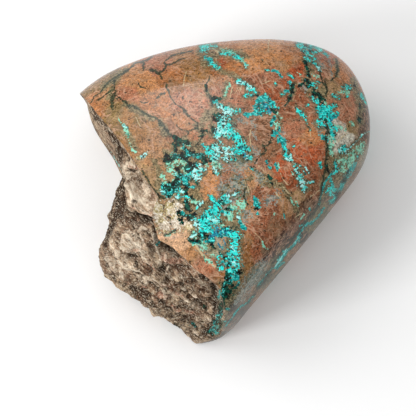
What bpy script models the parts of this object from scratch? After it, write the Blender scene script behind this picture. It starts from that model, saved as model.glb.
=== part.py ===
"""A palm-sized freeform of shattuckite in red-brown jasper: a polished dome with a flat sawn back,
and one side left as it broke. It lies on its back. Metres, +Z up, origin under the middle of its box."""

import itertools
import math

import bmesh
import bpy
import numpy as np

# The script works in millimetres, and turns them into metres when the mesh is done
METRES_PER_MM = 0.001

# Sizes across the polished stone
CROWN_HEIGHT = 41.0
WIDEST_HEIGHT = 16.0
BACK_INSET = 5.0
SHOULDER_INSET = 5.0

# The plan outline at the widest height, anticlockwise from the right. The stretch from the top left
# round to the bottom is the part that broke away, drawn well past the break.
WIDEST_OUTLINE = (
    (40.6, 17.0), (39.2, 27.5), (34.0, 37.0), (25.0, 42.1), (10.0, 43.9), (-8.0, 42.7),
    (-24.5, 38.2), (-38.0, 30.6), (-49.0, 17.0), (-54.0, -4.0), (-46.0, -31.0), (-27.0, -46.0),
    (-9.0, -44.6), (0.5, -39.6), (7.0, -32.2), (17.0, -20.3), (29.5, -4.7), (38.5, 7.8),
)
OUTLINE_STEPS = 24

# The ground face is a shallow dome cut by a second flat, and both are rounded into the wall
DOME_CENTRE = (-2.0, 2.0)
DOME_DROP_AT_EDGE = 5.0
DOME_REACH = 42.0
UPPER_FLAT_POINT = (-16.0, 23.3, 39.2)
UPPER_FLAT_SLOPE = (0.10, -0.32)
FLAT_SOFTNESS = 0.25
FAR_SHOULDER_ROUNDING = 15.0
NEAR_SHOULDER_ROUNDING = 5.0
NEAR_SIDE_ANGLE = math.radians(-65)
BACK_ROUNDING = 2.0

# The broken side runs from its start to its end. Each station gives the distance along it, how far
# outside that line the polished edge and the widest part of the broken rock lie, and the edge's height.
BREAK_START = (-40.5, 26.5)
BREAK_END = (-5.5, -41.0)
BREAK_STATIONS = (
    (-12.0, 2.5, -1.0, 16.0), (0.0, 0.9, -1.4, 26.0), (13.0, 0.0, -2.4, 34.0), (23.0, -1.5, -1.2, 37.0),
    (32.0, -2.3, 7.2, 39.0), (42.0, -3.2, 15.5, 39.5), (46.0, 0.4, 16.3, 39.5), (52.5, 1.8, 13.8, 39.0),
    (56.5, -1.0, 12.0, 38.5), (63.0, -4.2, 8.5, 37.5), (67.5, -8.0, 4.0, 35.0), (70.0, -6.2, -1.0, 34.0),
    (76.0, -6.0, -5.0, 34.0), (88.0, -7.0, -7.0, 34.0),
)
# Share of the way down from the polished edge to the widest height, and share of the way out
BREAK_PROFILE = (
    (-0.6, -0.06), (0.0, 0.0), (0.06, 0.02), (0.22, 0.30), (0.36, 0.42), (0.46, 0.60),
    (0.75, 0.84), (1.0, 1.0), (1.25, 0.99), (1.75, 0.75), (3.0, 0.5),
)
BREAK_WIDEST_HEIGHT = 14.0
# Lumps and hollows on the broken side: along it, height, half sizes along and up, and how far out
BREAK_LUMPS = (
    (37.5, 32.5, 5.0, 3.5, 3.0), (30.0, 22.0, 3.5, 7.0, -2.5), (42.5, 30.0, 4.0, 2.5, -2.5),
    (47.0, 26.0, 5.0, 4.5, 2.5), (40.0, 20.0, 5.0, 5.0, 1.5), (55.5, 35.0, 5.0, 1.8, -2.5),
    (57.5, 29.0, 6.0, 3.0, 1.8), (64.0, 24.0, 5.0, 3.0, -1.2), (63.0, 15.0, 7.0, 4.0, 1.6),
    (12.0, 24.0, 6.0, 6.0, 0.8), (73.0, 1.0, 5.0, 7.0, 5.0),
)
# Rough relief of the broken rock: the size across and height of each layer's lumps. They are
# stretched along the grain, which runs down to the lower right, and fade out towards the polish.
BREAK_RELIEF = ((8.0, 2.0), (4.5, 1.3), (2.6, 0.7))
RELIEF_GRAIN = np.array((0.42, -0.81, -0.41))
RELIEF_STRETCH = 2.2
RELIEF_FADE = 5.0
RELIEF_LEFT_AT_EDGE = 0.2

# A small natural hollow in the polished face, beside the break
HOLLOW_PLACE = (-14.5, -14.5)
HOLLOW_HALF_SIZE = 5.0
HOLLOW_DEPTH = 1.4

# The mesh is a cube's skin blown out onto the stone from a point inside it
CAST_FROM = np.array((2.0, 1.0, 18.0))
CAST_SHAPE = np.array((41.0, 42.0, 21.0))
CAST_DIVISIONS = 28
CAST_NEAREST = 8.0
CAST_STRIDE = 1.5
CAST_STRIDES = 48
CAST_HALVINGS = 20

JASPER_COLOUR = (0.33, 0.16, 0.09, 1.0)
JASPER_ROUGHNESS = 0.28


def smooth_closed_curve(points, steps):
    """Points along the closed Catmull-Rom curve through the given ones."""
    p = np.array(points, float)
    before, after, beyond = np.roll(p, 1, 0), np.roll(p, -1, 0), np.roll(p, -2, 0)
    curve = []
    for t in np.linspace(0, 1, steps, endpoint=False):
        curve.append(0.5 * (2 * p + (after - before) * t
                            + (2 * before - 5 * p + 4 * after - beyond) * t * t
                            + (3 * p - before - 3 * after + beyond) * t ** 3))
    return np.stack(curve, 1).reshape(-1, 2)


def polar_outline(points):
    """(angles, radii) of the smooth outline round the origin, ready for np.interp."""
    curve = smooth_closed_curve(points, OUTLINE_STEPS)
    angle, radius = np.arctan2(curve[:, 1], curve[:, 0]), np.hypot(curve[:, 0], curve[:, 1])
    order = np.argsort(angle)
    angle, radius = angle[order], radius[order]
    return (np.concatenate([angle[-1:] - 2 * math.pi, angle, angle[:1] + 2 * math.pi]),
            np.concatenate([radius[-1:], radius, radius[:1]]))


OUTLINE_ANGLES, OUTLINE_RADII = polar_outline(WIDEST_OUTLINE)


def rounded_max(a, b, radius):
    """The greater of two distances, with a round of that radius where they meet."""
    a, b = a + radius, b + radius
    both = (a > 0) & (b > 0)
    return np.where(both, np.hypot(np.maximum(a, 0), np.maximum(b, 0)), np.maximum(a, b)) - radius


def softened_max(a, b, softness):
    """The greater of two nearly level distances, with the ridge between them lowered by half of that."""
    return (a + b + np.sqrt((a - b) ** 2 + softness ** 2)) / 2


def outside_polish(p):
    """How far a point is outside the polished stone, below zero inside it."""
    x, y, z = p.T
    angle = np.arctan2(y, x)
    low = np.clip((WIDEST_HEIGHT - z) / WIDEST_HEIGHT, 0, 2)
    high = np.clip((z - WIDEST_HEIGHT) / (CROWN_HEIGHT - WIDEST_HEIGHT), 0, 2)
    inset = BACK_INSET * low ** 2 + SHOULDER_INSET * high ** 2
    wall = np.hypot(x, y) - np.interp(angle, OUTLINE_ANGLES, OUTLINE_RADII) + inset
    from_centre = np.hypot(x - DOME_CENTRE[0], y - DOME_CENTRE[1]) / DOME_REACH
    dome = z - CROWN_HEIGHT + DOME_DROP_AT_EDGE * from_centre ** 2
    fx, fy, fz = UPPER_FLAT_POINT
    flat = z - fz - UPPER_FLAT_SLOPE[0] * (x - fx) - UPPER_FLAT_SLOPE[1] * (y - fy)
    hollow = np.hypot(x - HOLLOW_PLACE[0], y - HOLLOW_PLACE[1]) / HOLLOW_HALF_SIZE
    face = softened_max(dome, flat, FLAT_SOFTNESS) + HOLLOW_DEPTH * np.exp(-hollow ** 4)
    near = (0.5 + 0.5 * np.cos(angle - NEAR_SIDE_ANGLE)) ** 2
    shoulder = FAR_SHOULDER_ROUNDING + (NEAR_SHOULDER_ROUNDING - FAR_SHOULDER_ROUNDING) * near
    return rounded_max(rounded_max(face, wall, shoulder), -z, BACK_ROUNDING)


def outside_break(p):
    """How far a point is outside the broken side, measured level, below zero inside it."""
    start, end = np.array(BREAK_START), np.array(BREAK_END)
    ahead = (end - start) / np.linalg.norm(end - start)
    offset = p[:, :2] - start
    along, out, z = offset @ ahead, offset @ np.array((ahead[1], -ahead[0])), p[:, 2]
    station, edge, widest, edge_height = np.array(BREAK_STATIONS).T
    edge_out = np.interp(along, station, edge)
    widest_out = np.interp(along, station, widest)
    top = np.interp(along, station, edge_height)
    down = (top - z) / np.maximum(top - BREAK_WIDEST_HEIGHT, 4.0)
    surface = edge_out + (widest_out - edge_out) * np.interp(down, *np.array(BREAK_PROFILE).T)
    for place, height, half_along, half_up, rise in BREAK_LUMPS:
        away = ((along - place) / half_along) ** 2 + ((z - height) / half_up) ** 2
        surface = surface + rise * np.exp(-away)
    return out - surface


def scatter(cell, channel):
    """Even random numbers from -1 to 1, always the same for the same whole-number cell."""
    n = cell @ np.array((374761393, 668265263, 2147483647)) + channel * 144665
    n = (n ^ (n >> 13)) * 1274126177 & 0xFFFFFFFF
    return ((n ^ (n >> 16)) & 0xFFFF) / 32767.5 - 1


def smooth_noise(p):
    """Rolling random heights, about -0.7 to 0.7, with one hill or hollow in each unit of length."""
    cell = np.floor(p).astype(np.int64)
    inside = p - cell
    blend = inside ** 3 * (inside * (inside * 6 - 15) + 10)
    total = np.zeros(len(p))
    for corner in itertools.product((0, 1), repeat=3):
        weight = np.prod(np.where(corner, blend, 1 - blend), 1)
        for axis in range(3):
            total += weight * scatter(cell + corner, axis) * (inside[:, axis] - corner[axis])
    return total


def relief(p):
    """Height of the broken rock's roughness at each point: rounded lumps between sharp creases."""
    p = p - (p @ RELIEF_GRAIN)[:, None] * RELIEF_GRAIN * (1 - 1 / RELIEF_STRETCH)
    heights = np.zeros(len(p))
    for layer, (size, height) in enumerate(BREAK_RELIEF):
        lumps = smooth_noise(p / size + 17.3 * layer)
        creases = np.abs(smooth_noise(p / size * 1.4 - 9.1 * layer))
        heights += height * (lumps + 1.2 * creases - 0.25)
    return heights


def cast(outside, rays):
    """Distance from the casting point to where each ray first leaves a surface."""
    near = np.full(len(rays), CAST_NEAREST)
    is_in = np.ones(len(rays), bool)
    for _ in range(CAST_STRIDES):
        is_in &= outside(CAST_FROM + rays * (near + CAST_STRIDE)[:, None]) <= 0
        near[is_in] += CAST_STRIDE
    far = near + CAST_STRIDE
    for _ in range(CAST_HALVINGS):
        middle = (near + far) / 2
        is_out = outside(CAST_FROM + rays * middle[:, None]) > 0
        near, far = np.where(is_out, near, middle), np.where(is_out, middle, far)
    return (near + far) / 2


def reach(rays):
    """Distances to the polished skin and to the broken side along each ray, as two columns."""
    polished, broken = cast(outside_polish, rays), cast(outside_break, rays)
    rough = broken < polished + 2 * RELIEF_FADE
    fade = np.clip((polished[rough] - broken[rough]) / RELIEF_FADE, RELIEF_LEFT_AT_EDGE, 1)
    broken[rough] += fade * relief(CAST_FROM + rays[rough] * broken[rough, None])
    return np.stack([polished, broken], 1)


def rays_through(unit):
    """Directions of the rays that cross an ellipsoid of the stone's shape at these points."""
    scaled = unit * CAST_SHAPE
    return scaled / np.linalg.norm(scaled, axis=1, keepdims=True)


def quad_sphere(divisions):
    """A bmesh cube with its skin divided evenly, and its points on a unit sphere."""
    bm = bmesh.new()
    bmesh.ops.create_cube(bm, size=2.0)
    bmesh.ops.subdivide_edges(bm, edges=bm.edges, cuts=divisions - 1, use_grid_fill=True)
    bm.verts.index_update()
    points = np.tan(np.array([v.co for v in bm.verts]) * math.pi / 4)
    return bm, points / np.linalg.norm(points, axis=1, keepdims=True)


def slide_to_edge(unit, edges, columns):
    """Slides points onto the edge between polish and break, so that the mesh has an edge there."""
    gap = columns[:, 0] - columns[:, 1]
    a, b = edges[(gap[edges[:, 0]] > 0) != (gap[edges[:, 1]] > 0)].T
    share = gap[a] / (gap[a] - gap[b])
    mover = np.where(share < 0.5, a, b)
    target = unit[a] + (unit[b] - unit[a]) * share[:, None]
    slid, moved = unit.copy(), np.zeros(len(unit), bool)
    for i in np.argsort(-np.minimum(share, 1 - share)):
        slid[mover[i]] = target[i]
        moved[mover[i]] = True
    return slid / np.linalg.norm(slid, axis=1, keepdims=True), moved


def split_faces(bm, on_edge):
    """Cuts each four-sided face in two, along the polished edge where it crosses the face."""
    for face in list(bm.faces):
        a, b, c, d = face.verts
        first = on_edge[a.index] and on_edge[c.index]
        second = on_edge[b.index] and on_edge[d.index]
        shorter = (a.co - c.co).length < (b.co - d.co).length
        pair = (a, c) if (first and not second) or (first == second and shorter) else (b, d)
        bmesh.utils.face_split(face, *pair)


def build_stone():
    bm, unit = quad_sphere(CAST_DIVISIONS)
    edges = np.array([[v.index for v in e.verts] for e in bm.edges])
    unit, on_edge = slide_to_edge(unit, edges, reach(rays_through(unit)))
    rays = rays_through(unit)
    points = CAST_FROM + rays * reach(rays).min(1)[:, None]
    points[points[:, 2] < 0.1, 2] = 0.0
    middle = (points.min(0) + points.max(0)) / 2
    points[:, :2] -= middle[:2]
    print("middle of the box in the outline's frame, mm:", middle[:2].round(4))
    for vertex, point in zip(bm.verts, points):
        vertex.co = point * METRES_PER_MM
    split_faces(bm, on_edge)
    bmesh.ops.recalc_face_normals(bm, faces=bm.faces)
    mesh = bpy.data.meshes.new("stone")
    bm.to_mesh(mesh)
    bm.free()
    return mesh


def jasper():
    material = bpy.data.materials.new("polished_jasper")
    material.use_nodes = True
    shader = material.node_tree.nodes["Principled BSDF"]
    shader.inputs["Base Color"].default_value = JASPER_COLOUR
    shader.inputs["Roughness"].default_value = JASPER_ROUGHNESS
    return material


def main():
    for old in list(bpy.data.objects):
        bpy.data.objects.remove(old)
    stone = bpy.data.objects.new("stone", build_stone())
    stone.data.materials.append(jasper())
    bpy.context.scene.collection.objects.link(stone)
    stone.data.shade_smooth()
    stone.data.set_sharp_from_angle(angle=math.radians(35))
    corners = np.array([v.co for v in stone.data.vertices])
    print("stone from", corners.min(0).round(4), "to", corners.max(0).round(4))


main()
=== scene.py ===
# %% [markdown]
# # A shattuckite freeform
# The stone is red-brown jasper, about 8 cm across, with blue and green copper minerals in its cracks.
# One face is ground and polished to a dome, the back is sawn flat, and one side is left as it broke.
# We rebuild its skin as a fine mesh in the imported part's own frame, paint the minerals onto the
# skin as numbers, and let the materials turn those numbers into colour.

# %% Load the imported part
import itertools
import math

import bpy
import bmesh
import numpy as np
from mathutils import Matrix, Vector


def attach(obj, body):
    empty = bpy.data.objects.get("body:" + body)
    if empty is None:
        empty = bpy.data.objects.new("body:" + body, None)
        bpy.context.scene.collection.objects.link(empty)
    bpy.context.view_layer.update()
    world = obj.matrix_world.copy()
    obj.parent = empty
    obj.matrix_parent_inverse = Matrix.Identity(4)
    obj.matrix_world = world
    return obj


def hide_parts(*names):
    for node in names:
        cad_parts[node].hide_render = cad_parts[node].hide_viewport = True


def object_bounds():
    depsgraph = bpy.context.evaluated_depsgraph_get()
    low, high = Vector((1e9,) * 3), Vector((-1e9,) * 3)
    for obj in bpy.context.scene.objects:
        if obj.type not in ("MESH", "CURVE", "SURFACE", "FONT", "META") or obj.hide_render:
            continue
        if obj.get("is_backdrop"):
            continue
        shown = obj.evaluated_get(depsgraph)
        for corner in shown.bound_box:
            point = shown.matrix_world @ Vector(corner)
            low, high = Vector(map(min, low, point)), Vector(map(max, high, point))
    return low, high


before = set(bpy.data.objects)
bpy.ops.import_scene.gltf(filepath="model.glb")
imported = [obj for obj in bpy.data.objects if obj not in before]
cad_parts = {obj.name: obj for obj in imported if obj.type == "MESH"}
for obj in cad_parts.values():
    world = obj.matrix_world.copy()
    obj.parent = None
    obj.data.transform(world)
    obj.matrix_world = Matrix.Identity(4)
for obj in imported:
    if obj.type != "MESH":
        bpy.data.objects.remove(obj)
cad_low, cad_high = (np.array(corner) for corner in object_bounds())
print("packed part from", cad_low.round(4), "to", cad_high.round(4))

# %% [markdown]
# ## Camera
# The photo looks down on the stone from 72 degrees up, with a long lens. The same numbers also tell us
# which pixel of the picture each point of the stone falls on, so a vein that is noted down by its
# pixels can be laid on the solid stone. All lengths from here on are in millimetres, in the frame in
# which the stone was drawn, until the mesh is made.

# %% Camera
METRES_PER_MM = 0.001
PICTURE_PX = 416
PX_PER_MM = 3.6
SENSOR_WIDTH_MM = 36.0
CAMERA_ELEVATION = math.radians(72)
CAMERA_DISTANCE = 420.0
CAMERA_TARGET = np.array((-5.0, -5.4, 18.0))
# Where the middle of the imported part's box lies in the frame in which the stone was drawn
BOX_MIDDLE = np.array((-0.1663, 1.9323, 0.0))

CAMERA_RIGHT = np.array((1.0, 0.0, 0.0))
CAMERA_UP = np.array((0.0, math.sin(CAMERA_ELEVATION), math.cos(CAMERA_ELEVATION)))
CAMERA_BACK = np.array((0.0, -math.cos(CAMERA_ELEVATION), math.sin(CAMERA_ELEVATION)))


def to_world(points):
    """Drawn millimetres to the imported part's metres."""
    return (points - BOX_MIDDLE) * METRES_PER_MM


def to_picture(points):
    """The picture's pixel that each point falls on, as two columns."""
    offset = points - CAMERA_TARGET
    scale = PX_PER_MM * CAMERA_DISTANCE / (CAMERA_DISTANCE - offset @ CAMERA_BACK)
    middle = PICTURE_PX / 2
    return np.stack([middle + scale * (offset @ CAMERA_RIGHT), middle - scale * (offset @ CAMERA_UP)], 1)


camera_data = bpy.data.cameras.new("camera")
camera_data.sensor_width = SENSOR_WIDTH_MM
camera_data.lens = SENSOR_WIDTH_MM * CAMERA_DISTANCE / (PICTURE_PX / PX_PER_MM)
camera_data.clip_start = 0.01
camera = bpy.data.objects.new("camera", camera_data)
pose = Matrix((CAMERA_RIGHT, CAMERA_UP, CAMERA_BACK)).transposed().to_4x4()
pose.translation = Vector(to_world(CAMERA_TARGET + CAMERA_DISTANCE * CAMERA_BACK))
camera.matrix_world = pose
bpy.context.scene.collection.objects.link(camera)
bpy.context.scene.camera = camera
print("lens", round(camera_data.lens, 1), "mm")

# %% [markdown]
# ## The shape of the stone
# A stonecutter grinds a blank to a dome, then one corner breaks away. We describe both with distances:
# one function says how far a point is outside the polished blank, another how far it is outside the
# broken side. The stone is what is inside both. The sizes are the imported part's own. Distances like
# these join smoothly, where faces and edges moved one by one would show kinks.

# %% The polished blank
CROWN_HEIGHT = 41.0
WIDEST_HEIGHT = 16.0
BACK_INSET = 5.0
SHOULDER_INSET = 5.0
WIDEST_OUTLINE = (
    (40.6, 17.0), (39.2, 27.5), (34.0, 37.0), (25.0, 42.1), (10.0, 43.9), (-8.0, 42.7),
    (-24.5, 38.2), (-38.0, 30.6), (-49.0, 17.0), (-54.0, -4.0), (-46.0, -31.0), (-27.0, -46.0),
    (-9.0, -44.6), (0.5, -39.6), (7.0, -32.2), (17.0, -20.3), (29.5, -4.7), (38.5, 7.8),
)
OUTLINE_STEPS = 24
DOME_CENTRE = (-2.0, 2.0)
DOME_DROP_AT_EDGE = 5.0
DOME_REACH = 42.0
UPPER_FLAT_POINT = (-16.0, 23.3, 39.0)
UPPER_FLAT_SLOPE = (0.10, -0.32)
FLAT_SOFTNESS = 0.1
FAR_SHOULDER_ROUNDING = 15.0
NEAR_SHOULDER_ROUNDING = 5.0
NEAR_SIDE_ANGLE = math.radians(-65)
BACK_ROUNDING = 2.0
HOLLOW_PLACE = (-14.5, -14.5)
HOLLOW_HALF_SIZE = 5.0
HOLLOW_DEPTH = 1.4


def smooth_closed_curve(points, steps):
    """Points along the closed Catmull-Rom curve through the given ones."""
    p = np.array(points, float)
    before, after, beyond = np.roll(p, 1, 0), np.roll(p, -1, 0), np.roll(p, -2, 0)
    curve = []
    for t in np.linspace(0, 1, steps, endpoint=False):
        curve.append(0.5 * (2 * p + (after - before) * t
                            + (2 * before - 5 * p + 4 * after - beyond) * t * t
                            + (3 * p - before - 3 * after + beyond) * t ** 3))
    return np.stack(curve, 1).reshape(-1, 2)


def polar_outline(points):
    """(angles, radii) of the smooth outline round the origin, ready for np.interp."""
    curve = smooth_closed_curve(points, OUTLINE_STEPS)
    angle, radius = np.arctan2(curve[:, 1], curve[:, 0]), np.hypot(curve[:, 0], curve[:, 1])
    order = np.argsort(angle)
    angle, radius = angle[order], radius[order]
    return (np.concatenate([angle[-1:] - 2 * math.pi, angle, angle[:1] + 2 * math.pi]),
            np.concatenate([radius[-1:], radius, radius[:1]]))


OUTLINE_ANGLES, OUTLINE_RADII = polar_outline(WIDEST_OUTLINE)


def rounded_max(a, b, radius):
    """The greater of two distances, with a round of that radius where they meet."""
    a, b = a + radius, b + radius
    both = (a > 0) & (b > 0)
    return np.where(both, np.hypot(np.maximum(a, 0), np.maximum(b, 0)), np.maximum(a, b)) - radius


def softened_max(a, b, softness):
    """The greater of two nearly level distances, with the ridge between them lowered by half of that."""
    return (a + b + np.sqrt((a - b) ** 2 + softness ** 2)) / 2


def outside_polish(p):
    """How far a point is outside the polished stone, below zero inside it."""
    x, y, z = p.T
    angle = np.arctan2(y, x)
    low = np.clip((WIDEST_HEIGHT - z) / WIDEST_HEIGHT, 0, 2)
    high = np.clip((z - WIDEST_HEIGHT) / (CROWN_HEIGHT - WIDEST_HEIGHT), 0, 2)
    inset = BACK_INSET * low ** 2 + SHOULDER_INSET * high ** 2
    wall = np.hypot(x, y) - np.interp(angle, OUTLINE_ANGLES, OUTLINE_RADII) + inset
    from_centre = np.hypot(x - DOME_CENTRE[0], y - DOME_CENTRE[1]) / DOME_REACH
    dome = z - CROWN_HEIGHT + DOME_DROP_AT_EDGE * from_centre ** 2
    fx, fy, fz = UPPER_FLAT_POINT
    flat = z - fz - UPPER_FLAT_SLOPE[0] * (x - fx) - UPPER_FLAT_SLOPE[1] * (y - fy)
    hollow = np.hypot(x - HOLLOW_PLACE[0], y - HOLLOW_PLACE[1]) / HOLLOW_HALF_SIZE
    face = softened_max(dome, flat, FLAT_SOFTNESS) + HOLLOW_DEPTH * np.exp(-hollow ** 4)
    near = (0.5 + 0.5 * np.cos(angle - NEAR_SIDE_ANGLE)) ** 2
    shoulder = FAR_SHOULDER_ROUNDING + (NEAR_SHOULDER_ROUNDING - FAR_SHOULDER_ROUNDING) * near
    return rounded_max(rounded_max(face, wall, shoulder), -z, BACK_ROUNDING)


print("polished outline", len(OUTLINE_RADII), "points, widest radius", OUTLINE_RADII.max().round(1), "mm")

# %% [markdown]
# The broken side is measured from a straight line between its two ends. At each station along that
# line we give how far out the polished edge lies, how far out the rock bulges, and how high the edge
# is. Single lumps and hollows are then added where the real break has them.

# %% The broken side
BREAK_START = (-40.5, 26.5)
BREAK_END = (-5.5, -41.0)
# For each station: how far along the line, where the polished edge and the widest rock lie, the edge's height
BREAK_STATIONS = (
    (-12.0, 2.5, -1.0, 16.0), (0.0, 0.9, -1.4, 26.0), (13.0, 0.0, -2.4, 34.0), (23.0, -1.5, -1.2, 37.0),
    (32.0, -2.3, 7.2, 39.0), (42.0, -3.2, 15.5, 39.5), (46.0, 0.4, 16.3, 39.5), (52.5, 1.8, 13.8, 39.0),
    (56.5, -0.6, 12.0, 38.5), (63.5, -3.0, 8.5, 37.5), (67.5, -5.0, 4.0, 35.5), (71.0, -6.2, -0.5, 34.0),
    (76.0, -6.0, -3.0, 34.0), (88.0, -7.0, -6.0, 34.0),
)
# From the polished edge at 0 down to the widest height at 1: how much of the way out the rock has gone
BREAK_PROFILE = (
    (-0.6, -0.06), (0.0, 0.0), (0.06, 0.02), (0.22, 0.30), (0.36, 0.42), (0.46, 0.60),
    (0.75, 0.84), (1.0, 1.0), (1.25, 0.99), (1.75, 0.75), (3.0, 0.5),
)
BREAK_WIDEST_HEIGHT = 14.0
BREAK_LEAST_DROP = 4.0
# Place along the line, height, half sizes along and up, and how far the lump stands out
BREAK_LUMPS = (
    (37.5, 32.5, 5.0, 3.5, 3.0), (30.0, 22.0, 3.5, 7.0, -2.5), (42.5, 30.0, 4.0, 2.5, -2.5),
    (47.0, 26.0, 5.0, 4.5, 2.5), (40.0, 20.0, 5.0, 5.0, 1.5), (55.5, 35.0, 5.0, 1.8, -2.5),
    (57.5, 29.0, 6.0, 3.0, 1.8), (64.0, 24.0, 5.0, 3.0, -1.2), (63.0, 15.0, 7.0, 4.0, 1.6),
    (12.0, 24.0, 6.0, 6.0, 0.8), (73.0, 1.0, 5.0, 7.0, 5.0),
)


def outside_break(p):
    """How far a point is outside the broken side, measured level, below zero inside it."""
    start, end = np.array(BREAK_START), np.array(BREAK_END)
    ahead = (end - start) / np.linalg.norm(end - start)
    offset = p[:, :2] - start
    along, out, z = offset @ ahead, offset @ np.array((ahead[1], -ahead[0])), p[:, 2]
    station, edge, widest, edge_height = np.array(BREAK_STATIONS).T
    edge_out = np.interp(along, station, edge)
    widest_out = np.interp(along, station, widest)
    top = np.interp(along, station, edge_height)
    down = (top - z) / np.maximum(top - BREAK_WIDEST_HEIGHT, BREAK_LEAST_DROP)
    surface = edge_out + (widest_out - edge_out) * np.interp(down, *np.array(BREAK_PROFILE).T)
    for place, height, half_along, half_up, rise in BREAK_LUMPS:
        away = ((along - place) / half_along) ** 2 + ((z - height) / half_up) ** 2
        surface = surface + rise * np.exp(-away)
    return out - surface


print("broken side:", len(BREAK_STATIONS), "stations,", len(BREAK_LUMPS), "lumps and hollows")

# %% [markdown]
# Broken rock is rough at every size. Random heights that roll smoothly from one to the next, called
# gradient noise, give each size its lumps, and the same noise folded over at zero gives sharp creases.
# Both are drawn out along the ridges, which run down the rock at its top and across it lower down. The
# numbers come from a fixed recipe for each whole-number cell, so every run gives the same stone.

# %% Noise and relief
# The size and the height of each layer
LARGE_RELIEF = ((8.0, 2.0), (4.5, 1.5), (2.6, 0.8))
FINE_RELIEF = ((1.9, 0.5), (1.2, 0.4), (0.7, 0.25))
LUMP_SHIFT, CREASE_SHIFT = 17.3, -9.1
CREASE_FINENESS, CREASE_HEIGHT = 1.4, 1.2
RELIEF_LEVEL = 0.25
# The fine layers come and go over places of this size
ROUGH_PLACES, ROUGH_MEAN = 7.0, 0.9
RELIEF_GRAIN_ABOVE = np.array((0.42, -0.81, -0.41))
RELIEF_GRAIN_BELOW = np.array((0.58, -0.68, 0.45))
# Between these distances up the picture the grain turns from the lower direction to the upper one
RELIEF_TURNS = (-12.0, -4.0)
RELIEF_STRETCH = 3.3
RELIEF_FADE = 5.0
RELIEF_LEFT_AT_EDGE = 0.2
SCATTER_FACTORS = np.array((374761393, 668265263, 2147483647))
SCATTER_CHANNEL = 144665
SCATTER_MIX = 1274126177


def scatter(cell, channel):
    """Even random numbers from -1 to 1, always the same for the same whole-number cell."""
    n = cell @ SCATTER_FACTORS + channel * SCATTER_CHANNEL
    n = (n ^ (n >> 13)) * SCATTER_MIX & 0xFFFFFFFF
    return ((n ^ (n >> 16)) & 0xFFFF) / 32767.5 - 1


def smooth_noise(p):
    """Rolling random heights, about -0.7 to 0.7, with one hill or hollow in each unit of length."""
    cell = np.floor(p).astype(np.int64)
    inside = p - cell
    blend = inside ** 3 * (inside * (inside * 6 - 15) + 10)
    total = np.zeros(len(p))
    for corner in itertools.product((0, 1), repeat=3):
        weight = np.prod(np.where(corner, blend, 1 - blend), 1)
        for axis in range(3):
            total += weight * scatter(cell + corner, axis) * (inside[:, axis] - corner[axis])
    return total


def relief_along(p, layers, grain):
    """Heights of rounded lumps between sharp creases, all drawn out along the grain."""
    p = p - (p @ grain)[:, None] * grain * (1 - 1 / RELIEF_STRETCH)
    heights = np.zeros(len(p))
    for layer, (size, height) in enumerate(layers):
        lumps = smooth_noise(p / size + LUMP_SHIFT * layer)
        creases = np.abs(smooth_noise(p / size * CREASE_FINENESS + CREASE_SHIFT * layer))
        heights += height * (lumps + CREASE_HEIGHT * creases - RELIEF_LEVEL)
    return heights


def relief(p, layers):
    """Height of the broken rock's roughness, with its grain turned as the place asks."""
    above = np.clip((p[:, 1] - RELIEF_TURNS[0]) / (RELIEF_TURNS[1] - RELIEF_TURNS[0]), 0, 1)
    return (above * relief_along(p, layers, RELIEF_GRAIN_ABOVE)
            + (1 - above) * relief_along(p, layers, RELIEF_GRAIN_BELOW))


print("relief layers from", LARGE_RELIEF[0][0], "down to", FINE_RELIEF[-1][0], "mm")

# %% [markdown]
# ## From distances to a mesh
# We blow a cube's skin out from a point inside the stone, like a balloon in a mould: each point of the
# skin goes along its own ray until it leaves the stone. More points are sent to the side that faces
# the camera, because the finest markings are there. Points beside the broken edge slide onto it, so
# that the edge is crisp.

# %% Rays
CAST_FROM = np.array((2.0, 1.0, 18.0))
CAST_SHAPE = np.array((41.0, 42.0, 21.0))
CAST_DIVISIONS = 127
CAST_LEAN = 0.32
CAST_NEAREST = 8.0
CAST_STRIDE = 1.5
CAST_STRIDES = 48
CAST_HALVINGS = 18
FLAT_BELOW = 0.1


def cast(outside, rays):
    """Distance from the casting point to where each ray first leaves a surface."""
    near = np.full(len(rays), CAST_NEAREST)
    is_in = np.ones(len(rays), bool)
    for _ in range(CAST_STRIDES):
        is_in &= outside(CAST_FROM + rays * (near + CAST_STRIDE)[:, None]) <= 0
        near[is_in] += CAST_STRIDE
    far = near + CAST_STRIDE
    for _ in range(CAST_HALVINGS):
        middle = (near + far) / 2
        is_out = outside(CAST_FROM + rays * middle[:, None]) > 0
        near, far = np.where(is_out, near, middle), np.where(is_out, middle, far)
    return (near + far) / 2


def reach(rays):
    """Distances to the polished skin and to the broken side along each ray, as two columns."""
    polished, broken = cast(outside_polish, rays), cast(outside_break, rays)
    rough = broken < polished + 2 * RELIEF_FADE
    at = CAST_FROM + rays[rough] * broken[rough, None]
    fade = np.clip((polished[rough] - broken[rough]) / RELIEF_FADE, RELIEF_LEFT_AT_EDGE, 1)
    sugary = np.sqrt(fade) * (ROUGH_MEAN + smooth_noise(at / ROUGH_PLACES))
    broken[rough] += fade * relief(at, LARGE_RELIEF) + sugary * relief(at, FINE_RELIEF)
    return np.stack([polished, broken], 1)


def rays_through(unit):
    """Directions of the rays that cross an ellipsoid of the stone's shape at these points."""
    scaled = unit * CAST_SHAPE
    return scaled / np.linalg.norm(scaled, axis=1, keepdims=True)


def ball_of_squares(divisions):
    """Points on a unit sphere, leaning towards the camera, and the four-sided faces between them."""
    bm = bmesh.new()
    bmesh.ops.create_cube(bm, size=2.0)
    bmesh.ops.subdivide_edges(bm, edges=bm.edges, cuts=divisions - 1, use_grid_fill=True)
    bm.verts.index_update()
    points = np.tan(np.array([v.co for v in bm.verts]) * math.pi / 4)
    squares = np.array([[v.index for v in f.verts] for f in bm.faces])
    bm.free()
    points /= np.linalg.norm(points, axis=1, keepdims=True)
    points += CAST_LEAN * CAMERA_BACK
    return points / np.linalg.norm(points, axis=1, keepdims=True), squares


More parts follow.
